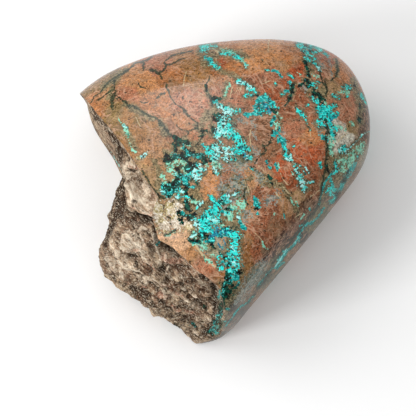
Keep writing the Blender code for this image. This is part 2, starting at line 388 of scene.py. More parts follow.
unit, squares = ball_of_squares(CAST_DIVISIONS)
columns = reach(rays_through(unit))
print("rays", len(unit), "of which broken", int((columns[:, 1] < columns[:, 0]).sum()))

# %% Slide points onto the broken edge, and cut the squares in two


def slide_to_edge(unit, squares, columns):
    """Slides points onto the edge between polish and break, so that the mesh has an edge there."""
    gap = columns[:, 0] - columns[:, 1]
    edges = np.concatenate([squares[:, (i, (i + 1) % 4)] for i in range(4)])
    edges = np.unique(np.sort(edges, 1), axis=0)
    a, b = edges[(gap[edges[:, 0]] > 0) != (gap[edges[:, 1]] > 0)].T
    share = gap[a] / (gap[a] - gap[b])
    mover = np.where(share < 0.5, a, b)
    target = unit[a] + (unit[b] - unit[a]) * share[:, None]
    slid, moved = unit.copy(), np.zeros(len(unit), bool)
    # The nearest crossing comes last, so it is the one that a point keeps
    for i in np.argsort(-np.minimum(share, 1 - share)):
        slid[mover[i]] = target[i]
        moved[mover[i]] = True
    return slid / np.linalg.norm(slid, axis=1, keepdims=True), moved


def cut_squares(points, squares, on_edge):
    """Two triangles for each square, cut along the broken edge where it crosses the square."""
    a, b, c, d = squares.T
    first, second = on_edge[a] & on_edge[c], on_edge[b] & on_edge[d]
    shorter = np.linalg.norm(points[a] - points[c], axis=1) < np.linalg.norm(points[b] - points[d], axis=1)
    by_ac = (first & ~second) | ((first == second) & shorter)
    one = np.where(by_ac[:, None], np.stack([a, b, c], 1), np.stack([a, b, d], 1))
    two = np.where(by_ac[:, None], np.stack([a, c, d], 1), np.stack([b, c, d], 1))
    return np.concatenate([one, two])


unit, on_edge = slide_to_edge(unit, squares, columns)
rays = rays_through(unit)
columns = reach(rays)
points = CAST_FROM + rays * columns.min(1)[:, None]
points[points[:, 2] < FLAT_BELOW, 2] = 0.0
low, high = cad_low / METRES_PER_MM + BOX_MIDDLE, cad_high / METRES_PER_MM + BOX_MIDDLE
past_box = np.abs(points - np.clip(points, low, high)).max(1) > FLAT_BELOW
points = np.clip(points, low, high)
triangles = cut_squares(points, squares, on_edge)
gap = np.where(on_edge, 0, columns[:, 0] - columns[:, 1])
broken_face = gap[triangles].sum(1) > 0
is_broken = np.zeros(len(points), bool)
is_broken[triangles[broken_face].ravel()] = True
print("triangles", len(triangles), "broken", int(broken_face.sum()))
print("points past the box", int(past_box.sum()))

# %% [markdown]
# ## What the camera sees
# Every point gets its pixel in the picture, and a number from 0 to 1 for how squarely it faces the
# camera. Markings noted from the picture are used where that number is 1. On the sides and the back,
# which the picture doesn't show, they give way to markings made up by the same kind of noise, laid
# through the stone as real veins are. A wobble of a pixel or two takes the ruler-straight look out of
# the noted lines.

# %% Picture place, facing and wobble
SEEN_FROM, SEEN_TO = -0.3, 0.05
# The broken side turns away below, but it is seen from this height up
BREAK_SEEN_HEIGHT, BREAK_SEEN_OVER = 6.0, 12.0
WOBBLE_SIZE = 1.8
WOBBLE_SHIFT = 50
VEIN_WOBBLE_PX, ROCK_WOBBLE_PX, ROUGH_WOBBLE_PX, SHADE_WOBBLE_PX = 1.3, 1.6, 2.0, 3.0


def vertex_normals(points, triangles):
    """Unit normals, pointing out of the stone."""
    a, b, c = (points[triangles[:, i]] for i in range(3))
    face = np.cross(b - a, c - a)
    normals = np.zeros_like(points)
    for i in range(3):
        for axis in range(3):
            normals[:, axis] += np.bincount(triangles[:, i], face[:, axis], len(points))
    return normals / np.maximum(np.linalg.norm(normals, axis=1, keepdims=True), 1e-12)


def step(low, high, value):
    """0 below low, 1 above high, and an even slope between."""
    return np.clip((value - low) / (high - low), 0, 1)


normals = vertex_normals(points, triangles)
if (np.sum(normals * rays, axis=1) > 0).mean() < 0.5:
    triangles = triangles[:, ::-1]
    normals = -normals
faces_camera = normals @ CAMERA_BACK
high_enough = (points[:, 2] - BREAK_SEEN_HEIGHT) / BREAK_SEEN_OVER
seen = step(SEEN_FROM, SEEN_TO, np.where(is_broken, high_enough, faces_camera))
pixels = to_picture(points)
wobble = np.stack([smooth_noise(points / WOBBLE_SIZE), smooth_noise(points / WOBBLE_SIZE + WOBBLE_SHIFT)], 1)
vein_pixels = pixels + VEIN_WOBBLE_PX * wobble
rock_pixels = pixels + ROCK_WOBBLE_PX * wobble
print("points that the camera sees:", int((seen > 0.5).sum()))

# %% [markdown]
# ## Noting the markings down
# A marking is a stroke: half its width, then the pixels it runs through. For every point of the skin
# we find the nearest stroke. The distance is kept in the stroke's own half widths, once with a sign
# for its side and once without. The signed one passes smoothly through zero on the stroke's middle,
# so a thin line stays crisp though the mesh's points are further apart than the line is wide.

# %% Distance to strokes
FAR_AWAY = 6.0


def nearest_stroke(strokes, at):
    """Signed and plain distance to the nearest stroke, in that stroke's half widths."""
    plain, signed = np.full(len(at), FAR_AWAY), np.full(len(at), FAR_AWAY)
    for half_width, *places in strokes:
        places = np.array(places, float).reshape(-1, 2)
        after = places[1:] if len(places) > 1 else places
        for start, end in zip(places, after):
            run = end - start
            share = np.clip(((at - start) @ run) / max(run @ run, 1e-9), 0, 1)
            away = at - start - share[:, None] * run
            distance = np.hypot(away[:, 0], away[:, 1]) / half_width
            side = np.sign(run[0] * away[:, 1] - run[1] * away[:, 0])
            nearer = distance < plain
            plain[nearer] = distance[nearer]
            signed[nearer] = (side * distance)[nearer]
    return signed, plain


# %% [markdown]
# ## Carving the broken side
# The break shows ridges that flow down the rock, rounded nodules, and a deep crevice under the pale
# lobe at its top. We note them as strokes too, each with a height in millimetres, and push the skin
# out or in under them, least where it meets the polish. Pale quartz stands a little proud, and the
# strokes that paint shade into the hollows and along the shadowed left margin lie low, so these
# strokes for the rock's tones carve it as well.

# %% Ridges, nodules and furrows
# Half width in pixels, height in millimetres, then the pixels that the stroke runs through
CARVED = (
    (4.5, -3.8, 129, 212, 136, 215, 144, 218, 151, 221), (3.6, -2.4, 151, 221, 155, 229, 157, 239),
    (3.6, -2.6, 157, 240, 168, 246, 180, 252), (4.0, -2.0, 120, 176, 121, 196, 124, 209),
    (8.0, 1.6, 139, 186, 143, 198, 150, 209), (8.0, 1.6, 136, 182, 138, 198, 144, 209),
    (6.0, 1.2, 131, 174, 137, 186), (8.0, 2.6, 129, 243, 132, 246), (7.0, 2.6, 170, 256, 176, 258),
    (5.0, 2.0, 156, 262, 158, 266), (8.0, 1.2, 199, 274, 206, 279), (6.0, 2.0, 176, 303, 180, 306),
    (3.0, 1.5, 143, 228, 150, 244, 154, 256, 168, 270), (2.6, 1.3, 168, 270, 183, 285, 205, 295, 215, 301),
    (3.4, 1.5, 108, 250, 116, 265, 128, 278), (3.0, 1.4, 128, 278, 147, 284, 162, 295, 171, 302),
    (3.0, 1.3, 136, 264, 150, 273, 162, 279), (2.6, 1.2, 162, 279, 183, 291, 193, 302, 206, 311),
    (3.0, 1.2, 117, 281, 136, 295, 151, 304), (3.0, 1.2, 151, 304, 171, 318, 190, 330),
    (3.0, -1.5, 134, 254, 147, 265, 157, 273, 171, 282),
    (3.0, -1.6, 122, 272, 140, 288, 157, 296, 171, 312), (2.6, -1.3, 171, 312, 193, 321, 204, 326),
    (3.0, -1.5, 162, 264, 172, 269, 186, 272, 196, 284), (2.6, -1.2, 119, 232, 118, 246, 123, 256),
    (2.4, -1.2, 140, 236, 143, 250, 150, 262), (2.4, -1.2, 189, 296, 203, 302, 213, 310),
    (2.6, -1.4, 112, 170, 118, 182, 120, 196), (3.0, 1.2, 105, 150, 112, 162, 118, 172),
    (2.4, -1.2, 100, 132, 108, 146, 117, 158), (2.4, -1.0, 180, 282, 196, 292),
)
PALE_ROCK = (
    (7, 128, 168, 130, 178), (8, 138, 190, 141, 200), (6, 124, 240, 132, 248), (5, 138, 252, 143, 260),
    (3, 142, 254, 146, 262), (2.4, 142, 234, 147, 246), (2, 128, 209, 132, 212), (4, 128, 176, 134, 178),
    (6, 137, 184, 141, 194), (4, 146, 186, 148, 190), (5, 147, 198, 150, 206), (4, 134, 192, 133, 200),
    (3, 140, 206, 148, 212), (1.5, 127, 178, 128, 196), (5, 154, 204, 161, 202), (3, 130, 200, 131, 206),
    (1.5, 129, 172, 140, 172), (7, 128, 238, 136, 244), (3, 123, 236, 130, 234), (3, 112, 243, 113, 248),
    (4, 117, 250, 119, 256), (2, 108, 252, 113, 258), (2.4, 114, 257, 117, 266, 119, 270),
    (6, 121, 262, 128, 266), (3, 124, 258, 121, 262), (2, 130, 262, 137, 269),
    (1.2, 140, 254, 144, 260, 150, 268), (1.2, 139, 268, 146, 272, 152, 280), (1.5, 138, 275, 141, 279),
    (3, 145, 277, 147, 280), (1.2, 132, 268, 138, 270, 145, 272), (1.2, 120, 276, 126, 278),
    (1.2, 152, 278, 158, 286), (1.4, 122, 272, 124, 276), (1.5, 153, 235, 156, 246, 161, 256, 161, 262),
    (0.9, 165, 264, 170, 271, 174, 277), (1.0, 148, 256, 152, 262), (1.5, 141, 246, 144, 250),
    (2.5, 166, 254, 175, 252), (1.5, 166, 258, 171, 260), (1.2, 152, 277, 160, 281, 168, 285),
    (1.2, 164, 291, 167, 297), (1.5, 180, 284, 186, 288), (1.5, 190, 291, 196, 297),
    (1.4, 184, 298, 189, 300), (2, 194, 303, 198, 305), (1.2, 186, 308, 189, 312),
    (1.2, 195, 318, 198, 318), (1.5, 208, 304, 214, 308), (2, 192, 266, 198, 268),
    (1.2, 201, 272, 206, 275), (1.0, 208, 318, 213, 323), (1.5, 193, 331, 198, 334),
    (1.5, 133, 222, 140, 232), (1.4, 142, 226, 147, 229),
)
# Painted shade in the break's crevices and hollows, under the pale lobe and along the shadowed left margin
SHADED_HOLLOWS = (
    (3, 136, 291, 146, 299), (3, 151, 303, 160, 311), (2.5, 184, 331, 192, 335), (4, 92, 108, 97, 118),
    (4, 98, 112, 106, 126), (4, 108, 130, 118, 146), (4, 118, 148, 120, 160), (5, 117, 200, 116, 214),
    (2.4, 108, 252, 106, 262), (4, 214, 286, 216, 300), (3, 216, 304, 214, 316), (4, 214, 322, 206, 334),
    (5, 114, 206, 112, 224), (4, 110, 226, 105, 240), (4, 118, 182, 116, 200),
    (3.5, 124, 176, 123, 190, 121, 206), (4, 118, 204, 120, 216), (2.5, 112, 214, 120, 218),
    (3, 112, 222, 109, 234), (2, 130, 170, 136, 171), (1.2, 148, 183, 150, 187), (1.4, 141, 200, 143, 201),
    (2, 133, 213, 140, 217, 151, 219), (3, 141, 221, 152, 223), (2, 152, 224, 157, 239),
    (1.5, 131, 220, 134, 228), (1.2, 123, 249, 128, 250, 131, 248), (1, 124, 242, 125, 246),
    (3, 161, 243, 166, 246, 175, 250), (1.5, 157, 239, 163, 243), (2.2, 105, 244, 106, 258),
    (1.5, 104, 262, 108, 268), (1.5, 109, 257, 113, 266), (1.2, 114, 266, 117, 274),
    (2.4, 112, 275, 116, 282), (1.5, 120, 283, 126, 285), (1.5, 131, 282, 138, 283),
    (1.5, 143, 282, 148, 287), (1.2, 150, 282, 158, 288), (1.0, 133, 272, 141, 273),
    (1.2, 141, 276, 145, 275), (4, 162, 268, 168, 274), (2, 159, 271, 166, 276), (1.5, 176, 266, 190, 268),
    (1.2, 176, 280, 184, 284), (1.5, 166, 289, 178, 290), (1.5, 152, 294, 158, 298),
    (2.4, 160, 303, 165, 304), (1.5, 163, 297, 166, 299), (1.2, 138, 292, 146, 298),
    (1.2, 140, 252, 144, 262, 152, 272), (1.2, 127, 254, 136, 258), (1.5, 136, 262, 139, 266),
    (1, 129, 258, 131, 256), (1.2, 200, 272, 206, 278, 212, 281), (1.2, 182, 289, 187, 292),
    (1.5, 168, 308, 174, 312), (1.5, 176, 312, 184, 318), (1.5, 180, 320, 188, 322),
    (1.5, 200, 290, 208, 292), (1.5, 196, 300, 206, 308), (1.4, 198, 312, 204, 311),
    (1.5, 200, 322, 210, 326), (2, 190, 324, 196, 328), (1.5, 212, 285, 216, 288), (2, 190, 333, 200, 337),
    (2.5, 206, 336, 212, 338), (3, 122, 150, 128, 158), (5, 105, 150, 112, 165), (4, 132, 288, 148, 296),
)
ROSY_ROCK = (
    (4, 165, 256, 172, 257), (3, 176, 258, 180, 260), (3, 153, 262, 157, 268), (2, 163, 284, 172, 286),
    (3, 174, 304, 180, 307), (2, 186, 310, 192, 312), (1.5, 176, 294, 184, 296), (2, 160, 292, 166, 296),
    (2, 131, 247, 140, 250), (3, 110, 262, 116, 268), (2, 124, 242, 126, 247), (3, 138, 211, 150, 215),
    (2, 145, 260, 150, 268), (3, 141, 286, 148, 290), (2, 133, 208, 137, 211), (2, 130, 166, 136, 168),
)
BROWN_ROCK = (
    (8, 188, 274, 206, 284), (5, 170, 280, 176, 286), (5, 186, 296, 206, 300), (4, 150, 284, 158, 290),
    (4, 190, 312, 204, 316),
)
PALE_RISE, DARK_DROP = 0.7, 1.2
# The carving comes in over this depth below the polish, and stops this far above the sawn back
CARVING_FADE, CARVED_ABOVE = 2.5, 1.0
CARVING_ROUNDNESS = 1.5
# How squarely the rock faces the camera where the carving starts, and where it is whole
CARVED_FACING = (-0.1, 0.25)


def carving(at):
    """Height in millimetres that the strokes ask for at each pixel, highest in a stroke's middle."""
    height = np.zeros(len(at))
    for half_width, rise, *places in CARVED:
        _, away = nearest_stroke(((half_width, *places),), at)
        height += rise * np.clip(1 - away, 0, 1) ** CARVING_ROUNDNESS
    for strokes, rise in ((PALE_ROCK, PALE_RISE), (SHADED_HOLLOWS, -DARK_DROP)):
        height += rise * np.clip(1 - nearest_stroke(strokes, at)[1], 0, 1)
    return height


depth_below_polish = np.where(is_broken, columns[:, 0] - columns[:, 1], 0)
carved = carving(rock_pixels) * step(0, CARVING_FADE, depth_below_polish) * step(*CARVED_FACING, faces_camera)
carved *= is_broken & ~on_edge & (points[:, 2] > CARVED_ABOVE)
points = np.clip(points + rays * carved[:, None], low, high)
normals = vertex_normals(points, triangles)
faces_camera = normals @ CAMERA_BACK
print("carved from", carved.min().round(1), "to", carved.max().round(1), "mm")

# %% [markdown]
# The dark veins are thin seams of chlorite, a grey-green mineral. They run through the upper left of
# the face, round the lumps of jasper, and one long black one comes down the right side. A few strokes
# along the polished edge above the break are not veins but a painted shadow line under that edge.

# %% Dark green and black veins
# Half width in pixels, then the pixels that the vein runs through
DARK_VEINS_AND_SHADOW_LINE = (
    (1.2, 152, 57, 145, 61, 135, 63, 129, 69, 122, 74, 115, 78, 108, 82, 104, 87, 100, 93),
    (1.6, 144, 62, 143.5, 68), (0.9, 115, 78, 114, 86, 116, 92, 112, 97),
    (2.3, 115, 94, 112, 98, 111, 102, 112, 106), (1.0, 116, 96, 120, 98.5, 125, 102),
    (1.7, 124, 101, 129, 106, 130, 107), (1.3, 129, 106, 135, 107, 139, 109, 144, 113),
    (1.2, 144, 113, 149, 116, 155, 117.5, 159.5, 120), (1.7, 159, 120, 161, 125, 167, 131),
    (1.6, 167, 131, 173, 137, 179, 141),
    (0.9, 193, 51, 185, 52.5, 179, 53.5, 173, 55.5, 168, 58.5, 164, 62, 166, 65),
    (1.3, 166, 65, 166, 68, 162, 71.5, 158, 72.5), (1.5, 158, 72, 152, 70, 150, 70),
    (1.2, 158, 72.5, 161.5, 77.5), (0.8, 166, 65, 171, 64, 176, 61.5, 180, 59, 185, 58),
    (0.9, 138, 84, 141, 86.8, 144.5, 87.8), (0.9, 161, 93.5, 165, 94), (1.3, 157, 98, 159, 97),
    (0.8, 141, 102, 144, 103, 147, 102.5), (1.1, 166.5, 85, 166.5, 88, 169, 92),
    (0.6, 169, 92, 171, 98, 176, 104), (1.5, 181, 107, 184, 110, 188, 115, 190, 117),
    (0.7, 176, 104, 181, 107), (0.8, 190, 117, 194, 120, 198.5, 124, 197.5, 127),
    (1.0, 197.5, 127, 193, 129, 190, 131.5), (0.7, 190, 131.5, 181, 130, 177, 126, 177, 123),
    (0.8, 183, 97, 183, 99), (0.8, 209.5, 77, 206.5, 85), (1.2, 206.5, 85, 207, 91, 211, 97),
    (1.2, 210, 97, 211, 102, 212, 106), (0.8, 198, 128, 190, 131, 186, 136),
    (1.1, 271, 139, 270, 143, 267, 146), (2.0, 264, 147, 265, 151, 262, 154),
    (0.8, 260, 157, 257, 160, 255, 163), (0.9, 325, 80, 326, 88, 327, 91, 325, 94, 326, 96),
    (2.0, 327, 127, 328, 133, 326, 139), (1.6, 326, 139, 328, 150), (1.4, 327, 150, 326, 160, 325, 164),
    (1.7, 325, 164, 325, 172), (1.3, 324, 173, 323, 180, 321, 190), (1.2, 321, 190, 320, 203, 316, 210),
    (1.6, 320, 200, 318, 206, 313, 213, 306, 221, 300, 229, 296, 235),
    (1.1, 296, 235, 290, 243, 283, 250, 278, 257, 272, 264), (1.2, 336, 60, 338, 70, 336, 76, 332, 80),
    (2.4, 271, 270, 266, 278, 258, 288), (1.2, 258, 288, 252, 297, 247, 304),
    (0.6, 303, 227, 297, 232, 290, 240), (1.0, 322, 82, 327, 88), (0.8, 245, 189, 244, 197, 246, 201),
    (0.8, 319.5, 73, 322, 80), (0.9, 111, 90, 104, 96, 97, 100), (0.7, 100, 93, 94, 97, 90, 104),
    # From pixel (142, 171) to (170, 196): a painted shadow line under the polished edge, not a vein
    (0.7, 196, 146, 200, 140, 203, 136), (1.1, 142, 171, 147, 179, 151, 186),
    (1.7, 152, 188, 156, 193, 160, 197, 165, 198), (1.2, 165, 198, 170, 196),
    (0.9, 163, 208, 168, 205, 175, 207, 179, 210), (0.8, 164, 213, 170, 211, 173, 214),
    (0.8, 169, 222, 171, 224), (1.0, 168, 217, 172, 219), (0.8, 175, 213, 178, 218),
    (1.1, 165, 235, 170, 233, 176, 229), (0.8, 182, 204, 187, 200),
)
print("dark veins:", len(DARK_VEINS_AND_SHADOW_LINE), "strokes")

# %% [markdown]
# The copper minerals fill the cracks as crusts with lacy edges. Shattuckite and chrysocolla are the
# turquoise, near white where they are thin and deep teal where they are thick. Malachite is the pale
# green. Near-black green spots sit among them. Each kind has its own table.

# %% Pale and bright turquoise
PALE = (
    (1.6, 208, 217, 215, 222), (1.2, 196, 234, 190, 238),
    (0.6, 371, 131, 365, 133, 362, 134, 360, 138, 355, 142, 350, 148, 347, 150), (0.6, 299, 237, 294, 244),
    (0.6, 287, 250, 281, 258, 276, 266), (1.8, 216, 171, 218, 173), (1.0, 214, 168, 216, 170),
    (2.0, 226, 197, 228, 201), (1.5, 229, 197, 234, 195), (1.0, 235, 194, 240, 193),
    (1.8, 239, 83, 243, 83), (1.4, 243, 82, 247, 85), (1.5, 248, 88, 252, 87), (1.3, 286, 158, 287, 160),
    (1.2, 290, 155, 291, 160), (1.2, 293, 163, 296, 165), (1.2, 294, 166, 297, 169),
    (1.0, 295, 170, 297, 172), (1.3, 297, 172, 300, 177), (1.5, 298, 178, 301, 181),
    (1.3, 301, 175, 303, 181), (2.6, 302, 184, 304, 188), (1.3, 300, 182, 302, 186),
    (1.4, 305, 183, 308, 182), (1.1, 310, 182, 313, 182), (2.2, 342, 149, 345, 150),
    (1.3, 340, 152, 342, 153), (1.2, 318, 67, 320, 71), (1.0, 318, 49, 321, 50), (1.2, 245, 65, 246, 67),
    (1.3, 142, 157, 146, 154), (1.0, 123, 126, 127, 128), (0.7, 300, 165, 303, 169),
    (0.6, 303, 171, 306, 175), (0.6, 305, 167, 309, 173), (2.2, 219, 106, 222, 107),
    (2.6, 222, 108, 226, 110), (3.6, 226, 111, 230, 111), (1.5, 224, 113, 223.5, 121),
    (2.2, 222, 122, 221, 128), (3.2, 219, 131, 218.5, 135), (2.4, 222, 132, 227, 131),
    (1.2, 228, 115, 229.5, 114), (1.0, 226, 118, 231, 119), (1.0, 226, 130, 231, 127),
    (0.9, 228, 134, 235, 131), (2.8, 215.5, 146.5, 218, 150), (1.8, 212, 147, 214, 146),
    (2.4, 213, 157, 216, 158), (1.3, 217, 156, 219.5, 154), (1.0, 219.5, 141, 222, 143.5),
    (2.2, 223, 148, 228, 148), (1.6, 220.5, 151.5, 223.5, 153), (2.6, 227, 153, 226, 159),
    (1.7, 232, 150, 230, 156), (1.2, 236.5, 156, 237.5, 157), (1.4, 247, 156, 248, 158),
    (1.0, 225, 160, 228, 162), (1.1, 231, 152, 229, 155), (2.2, 196.5, 164, 198.5, 165),
    (3.0, 200, 168.5, 202, 168.5), (3.4, 196, 171, 198, 172), (3.4, 193, 174, 196, 176),
    (1.6, 193.5, 178, 195, 179), (2.0, 178, 190, 182, 191), (1.1, 175, 172, 176, 174),
    (1.3, 162, 191, 165, 193), (1.6, 177, 197, 179, 198), (1.6, 198, 206, 202, 203),
    (1.4, 226, 197, 228, 201), (1.3, 230, 197, 235, 195), (0.9, 235, 194, 240, 193),
    (2.6, 195, 221, 198, 226), (1.5, 192, 220, 194, 221), (1.0, 238, 216, 240, 219),
    (1.2, 216, 219, 218, 221), (1.3, 232, 246, 235, 251), (1.3, 228, 254, 231, 255),
    (1.4, 233.5, 262, 235.5, 264), (1.6, 226, 213, 230, 214), (1.2, 223, 232, 224, 234),
)
BRIGHT = (
    (1.3, 211, 199, 215, 204), (1.6, 224, 195, 225, 199), (1.0, 257, 204, 257, 206),
    (1.3, 237, 82, 240, 80), (1.5, 249, 88, 254, 90), (1.4, 254, 91, 257, 94), (1.3, 265, 95, 268, 98),
    (1.5, 275, 107, 277, 108), (1.6, 262, 111, 264, 112), (1.6, 269, 104, 272, 103),
    (1.0, 279, 129, 280, 131), (1.4, 284, 147, 286, 151), (2.2, 286, 152, 287, 157),
    (1.2, 281, 94, 283, 94), (1.2, 251, 168, 253, 169), (2.1, 300, 112, 302, 114),
    (1.9, 302, 114, 304, 117), (1.1, 297, 108, 299, 111), (0.9, 305, 119, 307, 123),
    (0.7, 308, 126, 311, 130), (1.1, 307, 105, 308, 105), (0.9, 293, 146, 294, 146),
    (1.8, 312, 84, 315, 84), (1.2, 316, 82, 319, 83), (1.5, 314, 85, 316, 87), (0.9, 309, 86, 310, 86),
    (1.2, 333, 95, 335, 96), (1.5, 337, 98, 339, 98), (2.2, 346, 87, 349, 88), (0.9, 347, 96, 348, 96),
    (1.7, 361, 94, 363, 98), (0.9, 362, 99, 365, 102), (0.8, 365, 102, 367, 104), (1.6, 312, 98, 314, 101),
    (1.2, 315, 101, 317, 103), (1.6, 317, 107, 319, 110), (2.4, 323, 108, 325, 111),
    (2.2, 327, 110, 330, 109), (1.6, 330, 107, 336, 106), (1.0, 333, 104, 334, 104),
    (2.2, 320, 113, 322, 116), (1.8, 324, 113, 325, 117), (1.8, 327, 117, 329, 120),
    (1.5, 330, 116, 333, 114), (2.4, 319, 122, 321, 126), (1.6, 322, 124, 324, 126),
    (2.4, 331, 126, 333, 130), (2.2, 332, 131, 333, 135), (1.4, 335, 128, 337, 130),
    (1.0, 337, 112, 338, 113), (1.2, 335, 163, 336, 167), (1.5, 338, 168, 336, 172),
    (1.6, 332, 174, 334, 173), (1.2, 320, 163, 321, 167), (1.0, 331, 181, 332, 182),
    (2.2, 328, 190, 332, 188), (1.6, 330, 192, 331, 195), (1.8, 333, 190, 335, 190),
    (1.2, 333, 195, 334, 198), (1.2, 331, 200, 330, 203), (2.0, 202, 47, 207, 46), (1.8, 210, 46, 215, 46),
    (1.6, 202, 50, 206, 50), (2.2, 211, 64, 216, 66), (1.3, 217, 67, 219, 68), (1.5, 221, 54, 227, 53),
    (1.3, 228, 53, 231, 55), (1.8, 234, 56, 238, 57), (1.6, 239, 58, 241, 59), (1.1, 266, 70, 268, 70),
    (0.9, 288, 74, 293, 78), (0.9, 275, 83, 276, 85), (2.2, 301, 46, 303, 47), (1.4, 297, 45, 298, 46),
    (1.6, 309, 45, 315, 46), (1.8, 318, 48, 321, 50), (1.5, 313, 53, 320, 51), (1.6, 306, 53, 308, 55),
    (1.8, 311, 57, 313, 59), (2.0, 307, 58, 309, 60), (1.3, 314, 62, 318, 67), (0.8, 357, 156, 358, 159),
    (1.2, 153, 235, 153, 236), (1.2, 214, 101, 218, 101), (1.7, 234, 110, 240, 111),
    (1.5, 236, 110, 237, 112), (2.6, 222, 121, 221, 129), (3.4, 226, 126, 230, 124),
    (3.4, 226, 132, 232, 131), (2.8, 229, 136, 234, 135), (2.4, 234, 138, 239, 138),
    (1.8, 218, 134, 223, 134), (2.6, 237, 141, 242, 141), (2.0, 236, 146, 244, 143),
    (1.6, 243, 144, 248, 148), (1.8, 235, 151, 243, 151), (1.5, 240, 154, 244, 152),
    (1.6, 246, 150, 249, 150), (2.2, 246, 156, 250, 158), (1.2, 236, 133, 239, 138),
    (1.4, 231, 149, 236, 148), (1.2, 230, 159, 237, 160), (1.0, 219, 121, 218, 128),
    (1.8, 247, 95, 251, 95), (1.0, 244, 96, 245, 96.5), (3.0, 208, 152, 213, 154),
    (2.2, 206, 147.5, 208, 150), (1.8, 211, 150, 214, 153), (2.0, 209, 155, 211, 157),
    (2.4, 188, 174.5, 192, 175), (1.6, 186, 152, 188, 154), (1.8, 179, 189, 183, 191.5),
    (1.5, 179, 195, 180, 193), (1.3, 184, 196, 190, 198), (1.4, 162.5, 184, 163, 188),
    (1.2, 196, 157, 198, 157), (1.2, 200, 169, 203, 170), (1.6, 211, 197, 215, 204),
    (1.6, 221, 197, 226, 200), (1.2, 219, 205, 221, 207), (1.2, 226, 201, 228, 203),
    (1.1, 197, 209, 199, 206), (2.6, 207, 212, 212, 209), (3.0, 214, 207, 218, 212),
    (2.0, 213, 214, 218, 216), (3.4, 208, 216, 214, 217), (2.4, 217, 218, 218, 221),
    (3.0, 206, 219, 209, 223), (4.4, 201, 223, 206, 225), (3.2, 202, 229, 206, 229),
    (1.7, 202, 233, 202, 235), (1.4, 211, 223, 214, 225), (1.3, 208, 229, 212, 233),
    (1.4, 210, 240, 213, 240), (3.8, 233, 232, 236, 235), (3.2, 231, 235, 238, 236),
    (2.6, 236, 238, 236, 244), (1.4, 230, 242, 232, 245), (4.2, 233, 248, 235, 250),
    (4.4, 232, 253, 235, 253), (2.0, 228, 253, 230, 255), (3.0, 230, 259, 234, 260),
    (4.0, 233, 262, 236, 264), (2.6, 236, 259, 237, 264), (2.2, 231, 267, 235, 269),
    (1.6, 229, 270, 232, 272), (1.2, 220, 252, 220.5, 253), (1.2, 222, 255, 222, 257),
    (1.5, 217.5, 258, 219, 260), (1.6, 219, 264, 220.5, 266), (1.4, 222, 267, 223, 269),
    (1.3, 218.5, 267, 220, 269), (1.0, 226, 229, 229, 228), (1.2, 193, 233, 195, 234),
)
print("pale", len(PALE), "bright", len(BRIGHT), "strokes")

